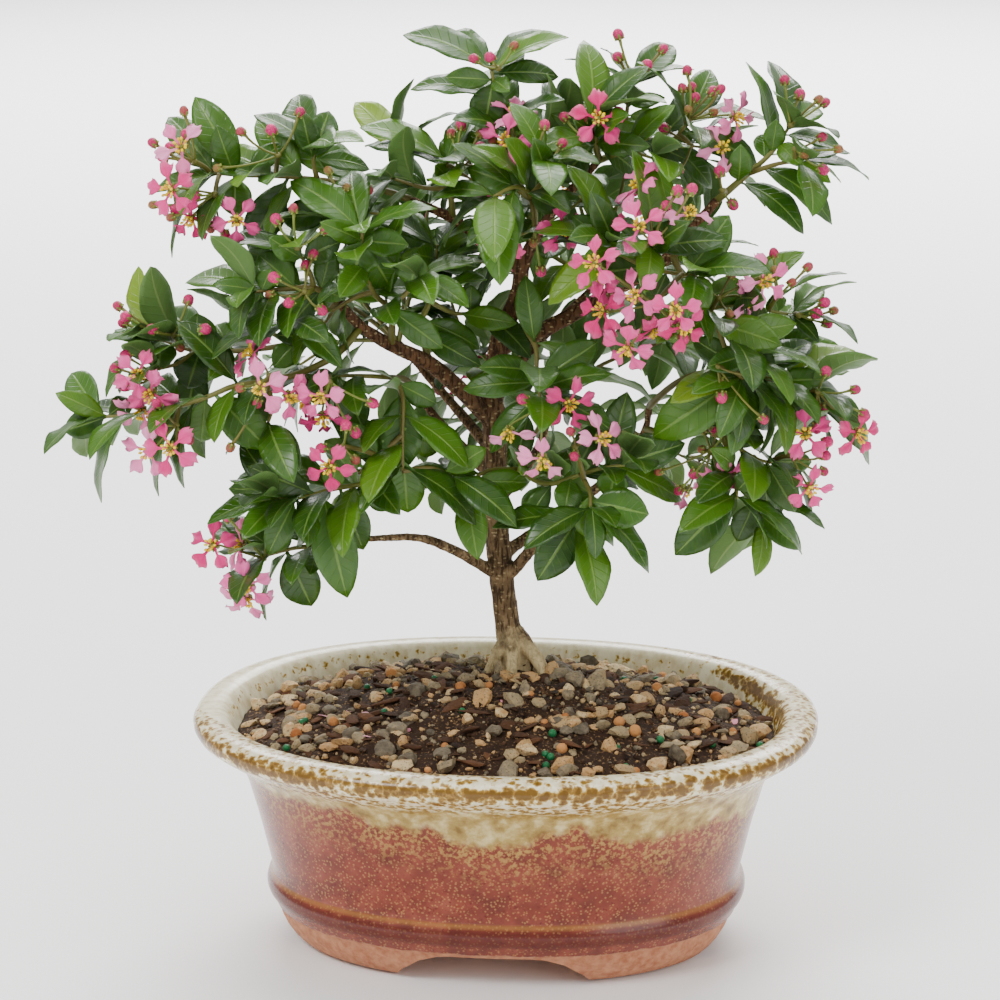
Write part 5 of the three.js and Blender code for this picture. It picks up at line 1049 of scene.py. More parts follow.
def add_bloom(bag, flower, draw):
    """Five clawed petals round golden stamens, backed by green sepals, on a bent stalk"""
    centre, facing, radius = flower["centre"], flower["facing"], flower["radius"]
    x = np.cross(UP, facing)
    x = vec(1, 0, 0) if math.sqrt(float(x @ x)) < 0.2 else unit(x)
    y = np.cross(facing, x)
    age = draw()
    for k in range(PETALS):
        if age > 0.8 and draw() < 0.25:
            continue
        angle = flower["turn"] + 2 * math.pi * k / PETALS + (draw() - 0.5) * 0.2
        out = x * math.cos(angle) + y * math.sin(angle)
        lean = unit(out + facing * (0.25 * (draw() - 0.35)))
        tint = min(1, max(0, age + 0.25 * (draw() - 0.5)))
        add_petal(bag, centre + out * 0.8, lean, facing, radius * 0.93, draw, tint)
    for k in range(PETALS):
        angle = flower["turn"] + 2 * math.pi * (k + 0.5) / PETALS
        out = x * math.cos(angle) + y * math.sin(angle)
        sepal = centre + out * 1.05 - facing * 0.55
        add_ball(bag, sepal, out * 1.2 + facing * 0.4, 0.62, 1.25, 0.35 + 0.3 * draw(), GREEN, 7, 5)
        for gland in (-0.35, 0.35):
            spot = x * math.cos(angle + gland) + y * math.sin(angle + gland)
            add_ball(bag, centre + spot * 1.35 - facing * 0.95, facing, 0.36, 0.3, 0.9, GREEN, 6, 4)
    add_ball(bag, centre + facing * 0.3, facing, 0.95, 0.9, 0.45, GREEN, 8, 5)
    for k in range(STAMENS):
        angle = 2 * math.pi * k / STAMENS + 0.3 * draw()
        out = x * math.cos(angle) + y * math.sin(angle)
        tip = centre + out * (1.1 + 1.3 * draw()) + facing * (1.6 + 1.2 * draw())
        add_tube(bag, [centre + out * 0.5, tip], [0.17, 0.13], 4, 0.8, GOLD)
        add_ball(bag, tip, out + facing, 0.5, 0.66, draw(), GOLD, 6, 4)
    back = centre - facing * min(4, 0.4 * math.dist(centre, flower["foot"]))
    stalk = curve_points((centre - facing * 0.5, back, flower["foot"]), 9)
    add_tube(bag, stalk, BLOOM_STALK_RADII, 6, 0.3 + 0.3 * draw(), GREEN)


def add_bud(bag, knob, draw):
    """Round bud: pink petals packed between five green sepals with pale glands"""
    centre, foot = knob["centre"], knob["foot"]
    way = unit(centre - foot)
    sag = vec(draw() - 0.5, draw() - 0.5, -0.2 - 0.6 * draw()) * (0.12 * math.dist(centre, foot))
    ripe = draw()
    radius = BUD_RADIUS * (0.82 + 0.3 * ripe)
    stalk = curve_points((foot, (foot + centre) / 2 + sag, centre - way * (radius * 0.8)), 7)
    add_tube(bag, stalk, BUD_STALK_RADII, 6, 0.2 + 0.5 * draw(), GREEN)

    def creases(angle, t):
        return 1 + 0.07 * math.cos(5 * angle + 1.5 * t) * math.sin(math.pi * t)

    add_ball(bag, centre, way, radius * 0.93, radius, ripe, BUD, 12, 8, creases)
    x = unit(np.cross(way, vec(0.3, 0.9, 0.2)))
    y = np.cross(way, x)
    for k in range(SEPALS):
        angle = 2 * math.pi * k / SEPALS + ripe
        out = x * math.cos(angle) + y * math.sin(angle)
        place = centre + out * (radius * 0.62) - way * (radius * 0.45)
        tint = 0.3 + 0.3 * draw()
        add_ball(bag, place, way + out * 0.25, radius * 0.36, radius * 0.62, tint, GREEN, 6, 5)
        gland = place - way * (radius * 0.4) + out * (radius * 0.16)
        add_ball(bag, gland, out, radius * 0.2, radius * 0.17, 0.95, GREEN, 5, 4)


def rgb(red, green, blue):
    """Linear colour of a display colour given from 0 to 255"""
    def linear(value):
        value /= 255
        return value / 12.92 if value <= 0.04045 else ((value + 0.055) / 1.055) ** 2.4
    return (linear(red), linear(green), linear(blue), 1.0)


class Paint:
    """The nodes of one material, built round its Principled shader"""

    def __init__(self, name, **fixed):
        self.material = bpy.data.materials.new(name)
        self.material.use_nodes = True
        self.tree = self.material.node_tree
        self.shader = self.tree.nodes["Principled BSDF"]
        for key, value in fixed.items():
            self.shader.inputs[key.replace("_", " ")].default_value = value

    def node(self, kind, **settings):
        made = self.tree.nodes.new(kind)
        for key, value in settings.items():
            setattr(made, key, value)
        return made

    def feed(self, socket, value):
        if isinstance(value, bpy.types.NodeSocket):
            self.tree.links.new(value, socket)
        else:
            socket.default_value = value

    def attribute(self, name):
        return self.node("ShaderNodeAttribute", attribute_name=name).outputs["Fac"]

    def place(self):
        return self.node("ShaderNodeTexCoord").outputs["Object"]

    def math(self, operation, a, b=0.0, clamp=False):
        made = self.node("ShaderNodeMath", operation=operation, use_clamp=clamp)
        self.feed(made.inputs[0], a)
        self.feed(made.inputs[1], b)
        return made.outputs[0]

    def times(self, a, b):
        return self.math("MULTIPLY", a, b)

    def plus(self, a, b, clamp=False):
        return self.math("ADD", a, b, clamp)

    def minus(self, a, b):
        return self.math("SUBTRACT", a, b)

    def size(self, value):
        return self.math("ABSOLUTE", value)

    def part(self, value):
        """What is left of a value over its whole number"""
        return self.math("FRACT", value)

    def ramp(self, share, *stops):
        """Colour or grey ramp; stops are (position, value)"""
        made = self.node("ShaderNodeValToRGB")
        self.feed(made.inputs[0], share)
        elements = made.color_ramp.elements
        while len(elements) < len(stops):
            elements.new(0.5)
        for element, (position, value) in zip(elements, stops):
            element.position = position
            element.color = value if isinstance(value, tuple) else (value, value, value, 1)
        return made.outputs["Color"]

    def fade(self, value, start, end):
        """1 where the value is below start, 0 above end"""
        made = self.node("ShaderNodeMapRange", clamp=True)
        self.feed(made.inputs["Value"], value)
        bounds = {"From Min": start, "From Max": end, "To Min": 1.0, "To Max": 0.0}
        for key, bound in bounds.items():
            made.inputs[key].default_value = bound
        return made.outputs["Result"]

    def blend(self, share, a, b, kind="MIX"):
        made = self.node("ShaderNodeMix", data_type="RGBA", blend_type=kind)
        self.feed(made.inputs[0], share)
        self.feed(made.inputs[6], a)
        self.feed(made.inputs[7], b)
        return made.outputs[2]

    def noise(self, scale, detail=3.0, place=None):
        made = self.node("ShaderNodeTexNoise")
        self.feed(made.inputs["Vector"], place or self.place())
        for key, value in (("Scale", scale), ("Detail", detail), ("Roughness", 0.55)):
            made.inputs[key].default_value = value
        return made.outputs["Fac"]

    def cells(self, scale, place=None, feature="F1"):
        """Distance to the nearest of scattered points, or to the edge between two"""
        made = self.node("ShaderNodeTexVoronoi", feature=feature)
        self.feed(made.inputs["Vector"], place or self.place())
        made.inputs["Scale"].default_value = scale
        return made.outputs["Distance"]

    def stretched(self, x, y, z):
        made = self.node("ShaderNodeMapping")
        self.feed(made.inputs["Vector"], self.place())
        made.inputs["Scale"].default_value = (x, y, z)
        return made.outputs["Vector"]

    def warped(self, scale, reach):
        """Places pushed about by a noise, so that cells get uneven edges"""
        push = self.node("ShaderNodeTexNoise")
        self.feed(push.inputs["Vector"], self.place())
        push.inputs["Scale"].default_value = scale
        made = self.node("ShaderNodeVectorMath", operation="MULTIPLY_ADD")
        self.feed(made.inputs[0], push.outputs["Color"])
        made.inputs[1].default_value = (reach, reach, reach)
        self.feed(made.inputs[2], self.place())
        return made.outputs[0]

    def split(self, axis):
        made = self.node("ShaderNodeSeparateXYZ")
        self.feed(made.inputs[0], self.place())
        return made.outputs[axis]

    def colour(self, value):
        self.feed(self.shader.inputs["Base Color"], value)

    def bump(self, height, strength, distance):
        made = self.node("ShaderNodeBump")
        made.inputs["Strength"].default_value = strength
        made.inputs["Distance"].default_value = distance
        self.feed(made.inputs["Height"], height)
        self.feed(self.shader.inputs["Normal"], made.outputs["Normal"])

    def set(self, name, value):
        self.feed(self.shader.inputs[name], value)


def leaf_paint():
    """Glossy dark green blade, paler below, with a light midrib and arched side veins"""
    paint = Paint("leaf", Specular_IOR_Level=0.42, Coat_Weight=0.06, Coat_Roughness=0.25)
    along, across = paint.attribute("along"), paint.size(paint.attribute("across"))
    tint, under = paint.attribute("tint"), paint.attribute("under")
    green = paint.ramp(
        tint,
        (0.0, rgb(30, 64, 8)), (0.35, rgb(54, 96, 10)), (0.7, rgb(90, 130, 18)), (1.0, rgb(134, 160, 28)),
    )
    spots = paint.ramp(paint.noise(260, 4), (0.35, 0.0), (0.75, 0.3))
    mottled = paint.blend(spots, green, rgb(84, 118, 20))
    ribs = paint.plus(paint.times(along, 9.5), paint.times(across, -1.5))
    fold = paint.size(paint.minus(paint.part(ribs), 0.5))
    veins = paint.ramp(fold, (0.0, 1.0), (0.09, 0.0))
    midrib = paint.ramp(across, (0.03, 1.0), (0.09, 0.0))
    drawn = paint.blend(paint.times(veins, 0.07), mottled, rgb(96, 132, 50))
    drawn = paint.blend(paint.times(midrib, 0.5), drawn, rgb(122, 154, 66))
    below = paint.blend(paint.times(midrib, 0.5), rgb(88, 122, 58), rgb(140, 160, 92))
    paint.colour(paint.blend(under, drawn, below))
    paint.set("Roughness", paint.plus(paint.times(under, 0.25), 0.34))
    relief = paint.plus(paint.times(veins, -0.5), paint.times(midrib, -0.9))
    paint.bump(relief, 0.4, 0.0005)
    return paint.material


def petal_paint():
    """Pink petal, deeper when fresh and pale when old, darker at its claw, with fine veins"""
    paint = Paint("petal", Roughness=0.6, Specular_IOR_Level=0.25, Sheen_Weight=0.1)
    along, across = paint.attribute("along"), paint.size(paint.attribute("across"))
    pink = paint.ramp(
        paint.attribute("tint"),
        (0.0, rgb(204, 24, 104)), (0.35, rgb(226, 66, 138)), (0.7, rgb(234, 100, 162)),
        (1.0, rgb(240, 150, 192)),
    )
    ray = paint.size(paint.minus(paint.part(paint.times(across, 5)), 0.5))
    veins = paint.times(paint.ramp(ray, (0.0, 0.22), (0.22, 0.0)), along)
    veined = paint.blend(veins, pink, rgb(196, 66, 118))
    rim = paint.ramp(along, (0.0, 0.0), (0.7, 0.0), (1.0, 0.2))
    paint.colour(paint.blend(rim, veined, rgb(248, 176, 200)))
    paint.bump(paint.plus(veins, paint.noise(900, 2)), 0.3, 0.0003)
    return paint.material


def stalk_paint():
    """Green stalks, sepals and glands: olive, paler and yellower with the tint"""
    paint = Paint("stalk", Roughness=0.55)
    green = paint.ramp(
        paint.attribute("tint"),
        (0.0, rgb(84, 70, 28)), (0.35, rgb(104, 108, 34)), (0.65, rgb(112, 136, 44)),
        (1.0, rgb(170, 182, 82)),
    )
    paint.colour(paint.blend(paint.times(paint.noise(500), 0.4), green, rgb(120, 96, 58)))
    return paint.material


def anther_paint():
    """Golden stamens, paler with the tint"""
    paint = Paint("anther", Roughness=0.7)
    gold = paint.ramp(
        paint.attribute("tint"),
        (0.0, rgb(206, 160, 4)), (0.5, rgb(236, 194, 8)), (1.0, rgb(246, 216, 40)),
    )
    paint.colour(gold)
    return paint.material


def bud_paint():
    """Bud with crinkled petal folds, their lines darkened by painted shade: green when small, then magenta
    """
    paint = Paint("bud", Roughness=0.55, Specular_IOR_Level=0.35)
    pink = paint.ramp(
        paint.attribute("tint"),
        (0.0, rgb(132, 124, 46)), (0.18, rgb(160, 84, 62)), (0.34, rgb(186, 38, 88)),
        (1.0, rgb(216, 48, 116)),
    )
    fold_lines_and_shade = paint.ramp(paint.cells(900, feature="DISTANCE_TO_EDGE"), (0.0, 1.0), (0.16, 0.0))
    # painted shade: the recessed fold lines are darkened to a deeper magenta
    paint.colour(paint.blend(paint.times(fold_lines_and_shade, 0.45), pink, rgb(150, 38, 84)))
    paint.bump(fold_lines_and_shade, 0.6, -0.0003)
    return paint.material


# Heights in metres: the limbs' bark comes in between two, the roots' bark goes out between two
LIMB_BARK_LOW, LIMB_BARK_TOP = 0.15, 0.185
ROOT_BARK = (0.104, 0.112)


def bark_paint():
    """Grey-brown bark with fissures darkened partly by their own colour and partly by painted shade, pale
    dashes, cream at the roots, redder on the limbs
    """
    paint = Paint("bark", Roughness=0.88, Specular_IOR_Level=0.2)
    height = paint.split("Z")
    base = paint.ramp(
        paint.noise(240, 6), (0.3, rgb(86, 68, 48)), (0.5, rgb(122, 98, 70)), (0.7, rgb(156, 130, 96)),
    )
    reddish = paint.ramp(paint.noise(300, 5), (0.3, rgb(84, 52, 36)), (0.7, rgb(128, 86, 58)))
    limb = paint.times(paint.fade(paint.times(height, -1), -LIMB_BARK_TOP, -LIMB_BARK_LOW), 0.75)
    body = paint.blend(limb, base, reddish)
    dashes = paint.cells(1.0, paint.stretched(430, 430, 800))
    pale = paint.ramp(dashes, (0.0, 1.0), (0.2, 0.8), (0.32, 0.0))
    body = paint.blend(paint.times(pale, 0.8), body, rgb(206, 182, 134))
    cracks_and_shade = paint.ramp(paint.noise(1.0, 4, paint.stretched(1100, 1100, 190)), (0.42, 1.0), (0.5, 0.0))
    # the fissures are darkened to near black: partly their own dark colour, partly painted shade in the
    # furrows
    body = paint.blend(paint.times(cracks_and_shade, 0.75), body, rgb(46, 32, 21))
    low = paint.fade(paint.plus(height, paint.times(paint.noise(260, 4), 0.022)), *ROOT_BARK)
    body = paint.blend(paint.times(low, 0.8), body, rgb(214, 192, 144))
    paint.colour(body)
    relief = paint.minus(paint.times(pale, 0.6), cracks_and_shade)
    paint.bump(paint.plus(relief, paint.noise(1100, 4)), 0.7, 0.0007)
    return paint.material


# Heights of the glaze's parts on the pot, in metres: where one fades out and the next comes in
BARE_CLAY = (0.0132, 0.0138)
# the second height here, at the bead's top, is where a painted highlight line runs
BEAD, HIGHLIGHT_LINE_HEIGHT = 0.0186, 0.0226
DRIP_BAND, RIM_GLAZE, LIP_TOP = (0.0705, 0.0735), (0.0665, 0.0695), (0.0762, 0.0776)
SHOULDER = 0.0746


def glaze_paint():
    """Cream rim with ochre cells, ragged drip band, speckled brick-red body with a painted highlight line
    along the bead's top, and unglazed feet
    """
    paint = Paint("glaze", Specular_IOR_Level=0.4)
    height, along = paint.split("Z"), paint.split("X")
    slow = paint.noise(1.0, 3, paint.stretched(42, 42, 14))
    quick = paint.noise(1.0, 4, paint.stretched(190, 190, 60))
    ragged = paint.plus(paint.times(slow, 0.024), paint.times(quick, 0.008))
    slope = paint.times(along, 0.05)
    edge = paint.plus(paint.plus(height, ragged), slope)
    # The red body, its gold and dark speckle, its darker bead and a painted highlight line along the
    # bead's top
    red = paint.ramp(
        paint.noise(130, 5), (0.3, rgb(98, 36, 24)), (0.55, rgb(128, 54, 37)), (0.8, rgb(148, 76, 53)),
    )
    fine = paint.cells(900)
    gold = paint.ramp(fine, (0.0, 1.0), (0.25, 0.7), (0.38, 0.0))
    red = paint.blend(paint.times(gold, 0.55), red, rgb(190, 138, 76))
    dark = paint.ramp(paint.noise(820, 2), (0.6, 0.0), (0.7, 0.7))
    red = paint.blend(dark, red, rgb(84, 14, 12))
    bead = paint.fade(paint.size(paint.minus(height, BEAD)), 0.0022, 0.0036)
    red = paint.blend(paint.times(bead, 0.7), red, rgb(78, 22, 14))
    # painted highlight: a narrow gold line along the bead's top, where light catches the ridge
    painted_highlight_line = paint.fade(paint.size(paint.minus(height, HIGHLIGHT_LINE_HEIGHT)), 0.0002, 0.0011)
    red = paint.blend(paint.times(painted_highlight_line, 0.42), red, rgb(172, 124, 60))
    # The drip band under the rim
    olive = paint.ramp(
        paint.noise(210, 5), (0.3, rgb(122, 92, 34)), (0.5, rgb(172, 144, 76)), (0.72, rgb(224, 206, 150)),
    )
    flecks = paint.ramp(paint.noise(640, 3), (0.5, 0.0), (0.6, 1.0))
    near = paint.minus(1.0, paint.fade(edge, 0.056, 0.071))
    red = paint.blend(paint.times(flecks, near), red, rgb(176, 136, 66))
    band = paint.minus(1.0, paint.fade(edge, *DRIP_BAND))
    body = paint.blend(band, red, olive)
    # The rim: cream broken into ochre and brown cells
    across = paint.split("Y")
    long_share = paint.math("POWER", paint.times(along, 10.93), 2.0)
    deep_share = paint.math("POWER", paint.times(across, 14.29), 2.0)
    oval = paint.plus(long_share, deep_share)
    inside = paint.fade(oval, 0.99, 1.06)
    shoulder = paint.fade(paint.size(paint.minus(height, SHOULDER)), 0.0008, 0.0026)
    top = paint.minus(1.0, paint.fade(height, *LIP_TOP))
    pale = paint.plus(paint.times(inside, 0.55), paint.times(top, 0.12))
    shade = paint.minus(pale, paint.times(shoulder, 0.3))
    uneven = paint.cells(420, paint.warped(520, 0.0034))
    blot = paint.plus(uneven, paint.times(paint.noise(210, 5), 0.7))
    blot = paint.plus(paint.minus(blot, 0.47), shade)
    streak = paint.ramp(paint.noise(1.0, 5, paint.stretched(330, 330, 120)), (0.4, 0.0), (0.62, 0.8))
    rim = paint.ramp(
        blot,
        (0.06, rgb(112, 80, 22)), (0.3, rgb(160, 124, 54)), (0.42, rgb(212, 190, 130)),
        (0.54, rgb(240, 231, 200)),
    )
    rim = paint.blend(paint.times(streak, 0.6), rim, rgb(196, 176, 124), "MULTIPLY")
    share = paint.plus(height, paint.times(quick, 0.006))
    share = paint.minus(1.0, paint.fade(share, *RIM_GLAZE))
    body = paint.blend(share, body, rim)
    # Bare clay below the bead
    clay = paint.ramp(paint.noise(420, 5), (0.3, rgb(160, 98, 68)), (0.7, rgb(196, 140, 104)))
    bare = paint.fade(paint.plus(height, paint.times(quick, 0.0022)), *BARE_CLAY)
    paint.colour(paint.blend(bare, body, clay))
    rough = paint.plus(paint.times(bare, 0.62), 0.2)
    paint.set("Roughness", paint.plus(rough, paint.times(gold, 0.08)))
    relief = paint.plus(paint.times(paint.noise(360, 3), 0.5), paint.times(fine, 0.12))
    paint.bump(relief, 0.22, 0.0006)
    return paint.material


def ground_paint(name, dark, light, scale, rough=0.92, speck=None, between=()):
    """Mineral or bark grains: colours by tint and noise, with specks"""
    paint = Paint(name, Roughness=rough, Specular_IOR_Level=0.25)
    tint, grain = paint.attribute("tint"), paint.noise(scale, 5)
    share = paint.plus(paint.times(tint, 0.7), paint.times(grain, 0.5), clamp=True)
    mixed = paint.ramp(share, (0.2, dark), *between, (0.95, light))
    if speck:
        dots = paint.ramp(paint.noise(scale * 3.5, 2), (0.58, 0.0), (0.66, 0.8))
        mixed = paint.blend(dots, mixed, speck)
    paint.colour(mixed)
    paint.bump(paint.noise(scale * 2.2, 5), 0.6, 0.0008)
    return paint.material


leaf_mat, petal_mat, stalk_mat = leaf_paint(), petal_paint(), stalk_paint()
anther_mat, bud_mat, bark_mat, glaze_mat = anther_paint(), bud_paint(), bark_paint(), glaze_paint()
soil_mat = ground_paint("soil", rgb(26, 16, 10), rgb(76, 52, 34), 300, speck=rgb(128, 98, 66))
stone_mat = ground_paint(
    "gravel", rgb(78, 70, 58), rgb(206, 182, 138), 420, 0.8, rgb(86, 72, 56),
    ((0.38, rgb(118, 106, 86)), (0.56, rgb(158, 138, 102)), (0.8, rgb(186, 142, 90))),
)
chip_mat = ground_paint("bark_chip", rgb(32, 20, 12), rgb(92, 60, 38), 360)
clay_mat = ground_paint("clay_ball", rgb(150, 84, 40), rgb(206, 146, 88), 520)
prill_mat = ground_paint("prill", rgb(10, 84, 48), rgb(40, 120, 70), 600, 0.35)
fallen_mat = ground_paint("fallen_petal", rgb(206, 120, 140), rgb(240, 190, 196), 700)
mesh_mat = ground_paint("drain_mesh", rgb(26, 30, 31), rgb(52, 58, 60), 500, 0.6)

# Leafy sprays
for number, spray in enumerate(sprays):
    draw = draws(SEED * 5000 + number)
    bag = Bag()
    for stem in spray["stems"]:
        path = path_through(stem["path"], 3.5)
        thick, thin = stem["radii"]
        add_tube(bag, path, taper(path, thick * 0.95, thin * 0.6), 8, 0.15 + 0.3 * draw(), 1)
    for leaf in spray["leaves"]:
        young = 0.35 if leaf.extra and draw() < 0.25 else 0.0
        add_leaf(bag, leaf, draw, min(1, 0.55 * draw() ** 1.3 + young))
    bag.piece(spray["name"] + "_fine", (leaf_mat, stalk_mat), "leaf", (spray["name"],))

# Flower clusters
for number, (name, rows) in enumerate(clusters.items()):
    draw = draws(SEED * 6000 + number)
    bag = Bag()
    for row in rows:
        root, hub = row["root"], row["hub"]
        stem = curve_points((root, (root + hub) / 2 + vec(0, -0.4, 0.6), hub), 8)
        add_tube(bag, stem, taper(stem, 0.85, 0.7), 8, 0.2, GREEN)
        add_ball(bag, hub, UP, 1.15, 1.0, 0.3, GREEN, 8, 5)
        for flower in row["flowers"]:
            add_bloom(bag, flower, draw)
        for knob in row["knobs"]:
            add_bud(bag, knob, draw)
    bag.piece(name + "_fine", (petal_mat, stalk_mat, anther_mat, bud_mat), "petal", (name,))


def mesh_of(name, verts, faces):
    """Mesh object in millimetres of the tree's or the pot's own frame, not yet in its place"""
    mesh = bpy.data.meshes.new(name)
    mesh.from_pydata([tuple(v) for v in verts], [], faces)
    mesh.update()
    obj = bpy.data.objects.new(name, mesh)
    bpy.context.scene.collection.objects.link(obj)
    return obj


def applied(obj, name):
    """The object's mesh with its modifiers applied, as new data; the object itself is removed"""
    graph = bpy.context.evaluated_depsgraph_get()
    mesh = bpy.data.meshes.new_from_object(obj.evaluated_get(graph))
    mesh.name = name
    old = obj.data
    bpy.data.objects.remove(obj)
    bpy.data.meshes.remove(old)
    return mesh


def frame_place(yaw):
    """From metres round the pot's centre, turned by the yaw, to the row's frame"""
    return Matrix.Translation((POT_CENTRE[0], POT_CENTRE[1], 0)) @ Matrix.Rotation(yaw, 4, "Z")


def put(name, mesh, material, nodes, yaw):
    """Turns a mesh in millimetres into the row's frame and hands it over as a piece"""
    mesh.transform(frame_place(yaw) @ Matrix.Scale(MM, 4))
    mesh.materials.clear()
    mesh.materials.append(material)
    mesh.polygons.foreach_set("use_smooth", [True] * len(mesh.polygons))
    obj = bpy.data.objects.new(name, mesh)
    bpy.context.scene.collection.objects.link(obj)
    finish_piece(obj, nodes)
    return obj


# The trunk, limbs and upper roots: tubes melted into one skin, then barked.
# A root has a direction in degrees and a reach; its path gives shares of the reach and heights.
ROOTS = ((-95, 9.5), (-35, 11.5), (18, 9.5), (75, 8.5), (140, 8.5), (207, 9.0))
ROOT_PATH = ((0.1, 99), (0.36, 96), (0.68, 92), (1, 87), (1.2, 82))
ROOT_THICK, ROOT_THIN = 2.5, 1.7
FLARE_TOP, FLARE_HEIGHT = 106, 22


def flare(angle, point):
    """How much wider the trunk is at an angle and a place: five lobes low down, faint ones above"""
    low = min(1, max(0, (FLARE_TOP - point[2]) / FLARE_HEIGHT))
    lobe = 0.5 + 0.5 * math.cos(5 * angle + 1.2)
    return 1 + low * low * (0.12 + 0.4 * lobe) + 0.05 * math.cos(7 * angle + 0.15 * point[2])


wood = Bag()
for i, (start, end, _) in enumerate(LIMBS):
    path = path_through(limb_paths[i] if i else trunk_path, 2.5)
    if i:
        path[0] = path[0] - unit(path[1] - path[0]) * 1.5
    add_tube(wood, path, taper(path, start, end), 12 if i else 28, bulge=None if i else flare)
for degrees, reach in ROOTS:
    way = vec(math.cos(math.radians(degrees)), math.sin(math.radians(degrees)), 0)
    centre = vec(foot[0], foot[1], 0)
    marks = [centre + way * share * reach + vec(0, 0, z) for share, z in ROOT_PATH]
    path = path_through(marks, 1.5)
    add_tube(wood, path, taper(path, ROOT_THICK, ROOT_THIN), 14)
wood_obj = mesh_of("wood", np.vstack(wood.verts), wood.faces)
melt = wood_obj.modifiers.new("melt", "REMESH")
melt.mode = "VOXEL"
melt.voxel_size = 0.72
soften = wood_obj.modifiers.new("soften", "SMOOTH")
soften.factor, soften.iterations = 0.5, 5
wood_mesh = applied(wood_obj, "trunk_fine")
for vertex in wood_mesh.vertices:
    p, n = vertex.co, vertex.normal
    ridges = noise.noise(Vector((p.x * 0.55, p.y * 0.55, p.z * 0.16)))
    grain = noise.noise(Vector((p.x * 1.3, p.y * 1.3, p.z * 0.5 + 40)))
    knobs = noise.noise(p * 0.17 + Vector((9, 3, 5)))
    thick = min(1.0, max(0.35, (180 - p.z) / 90))
    vertex.co = p + n * ((0.3 * ridges + 0.16 * grain + 0.35 * knobs) * thick)
put("trunk_fine", wood_mesh, bark_mat, ("trunk",), TREE_YAW)


# The pot: an oval shell, its foot ring and the holes in its floor
POT_OUTER = (
    (0, 11), (40, 11), (74.5, 11), (76, 12.6), (76.8, 14.6), (78.2, 16.5), (78.8, 18.2), (78.8, 19.6),
    (78.3, 21.3), (77.2, 22.7), (77, 24), (77.4, 27), (79, 34), (80.2, 39.5), (81.5, 45), (83, 50.5),
    (84.5, 56), (86, 59.6), (87.5, 62), (90, 64.5), (94.5, 67.2), (98.5, 70), (100.4, 71.6),
    (101.3, 73.4), (101.4, 75.2), (100.6, 76.7), (99, 77.7), (97, 78.15), (95, 78.2), (93.2, 78.05),
    (91.5, 77.5),
)
POT_INNER = (
    (90, 76), (88.6, 72.6), (87.2, 69), (83.5, 61.5), (80, 51), (77, 39.5), (73.5, 24), (71.6, 19.5),
    (68, 17.2), (40, 17), (0, 17),
)
FOOT_RING = (
    (54, 0.6), (54.6, 0), (66, 0), (67.4, 0.5), (69.4, 1.6), (71.4, 3.8), (73, 6.2), (74.3, 9),
    (74.8, 11.6), (52.2, 11.6), (52.8, 8), (53.6, 3),
)
# The plan's half-depth is its half-length less the inset
POT_INSET, SQUARENESS = 21.5, 2.22
# Gaps between the feet: half of each gap's width and the axis it is cut along
FOOT_GAPS, GAP_HEIGHT, GAP_POINTS = ((34.5, "Y"), (22.5, "X")), 11.4, 13
DRAIN_X, DRAIN_RADIUS = 38, 7
POT_AROUND = 168


def outline(angle, radius):
    """Point of the pot's plan, a squared oval whose half-length is the radius"""
    c, s = math.cos(angle), math.sin(angle)
    power = 2 / SQUARENESS
    depth = radius - POT_INSET
    return math.copysign(abs(c) ** power, c) * radius, math.copysign(abs(s) ** power, s) * depth


def capped_faces(count, around):
    """Faces of a body of closed rings; its last two points close the first and the last ring"""
    faces = grid_faces(count, around, closed=True)
    low, high, last = count * around, count * around + 1, (count - 1) * around
    for k in range(around):
        faces.append((low, (k + 1) % around, k))
        faces.append((high, last + k, last + (k + 1) % around))
    return faces


def oval_body(name, profile, around, wobble=0.0):
    """Closed body of oval rings; a profile that starts and ends on the axis closes there"""
    verts = []
    rows = [row for row in profile if row[0] > 0]
    for radius, z in rows:
        for k in range(around):
            angle = 2 * math.pi * k / around
            x, y = outline(angle, radius)
            drift = wobble * noise.noise(Vector((x * 0.03, y * 0.03, z * 0.05)))
            verts.append((x * (1 + drift / 90), y * (1 + drift / 90), z))
    if profile[0][0] == 0:
        verts += [(0, 0, profile[0][1]), (0, 0, profile[-1][1])]
        return mesh_of(name, verts, capped_faces(len(rows), around))
    faces = grid_faces(len(rows), around, closed=True)
    last = (len(rows) - 1) * around
    for k in range(around):
        faces.append((last + k, last + (k + 1) % around, (k + 1) % around, k))
    return mesh_of(name, verts, faces)


def prism(name, points, low, high, axis):
    """Closed prism of a polygon, drawn out along X or Y or Z"""
    def place(a, b, c):
        return {"X": (c, a, b), "Y": (a, c, b), "Z": (a, b, c)}[axis]
    n = len(points)
    verts = [place(a, b, low) for a, b in points] + [place(a, b, high) for a, b in points]
    faces = [tuple(range(n))[::-1], tuple(n + i for i in range(n))]
    faces += [(i, (i + 1) % n, n + (i + 1) % n, n + i) for i in range(n)]
    obj = mesh_of(name, verts, faces)
    grown = bmesh.new()
    grown.from_mesh(obj.data)
    bmesh.ops.recalc_face_normals(grown, faces=grown.faces)
    grown.to_mesh(obj.data)
    grown.free()
    return obj


def combine(target, tool, operation):
    """Joins or cuts the target with a tool object, which is then removed"""
    step = target.modifiers.new(operation, "BOOLEAN")
    step.operation, step.object, step.solver = operation, tool, "EXACT"
    mesh = applied(target, target.name)
    old = tool.data
    bpy.data.objects.remove(tool)
    bpy.data.meshes.remove(old)
    obj = bpy.data.objects.new(mesh.name, mesh)
    bpy.context.scene.collection.objects.link(obj)
    return obj


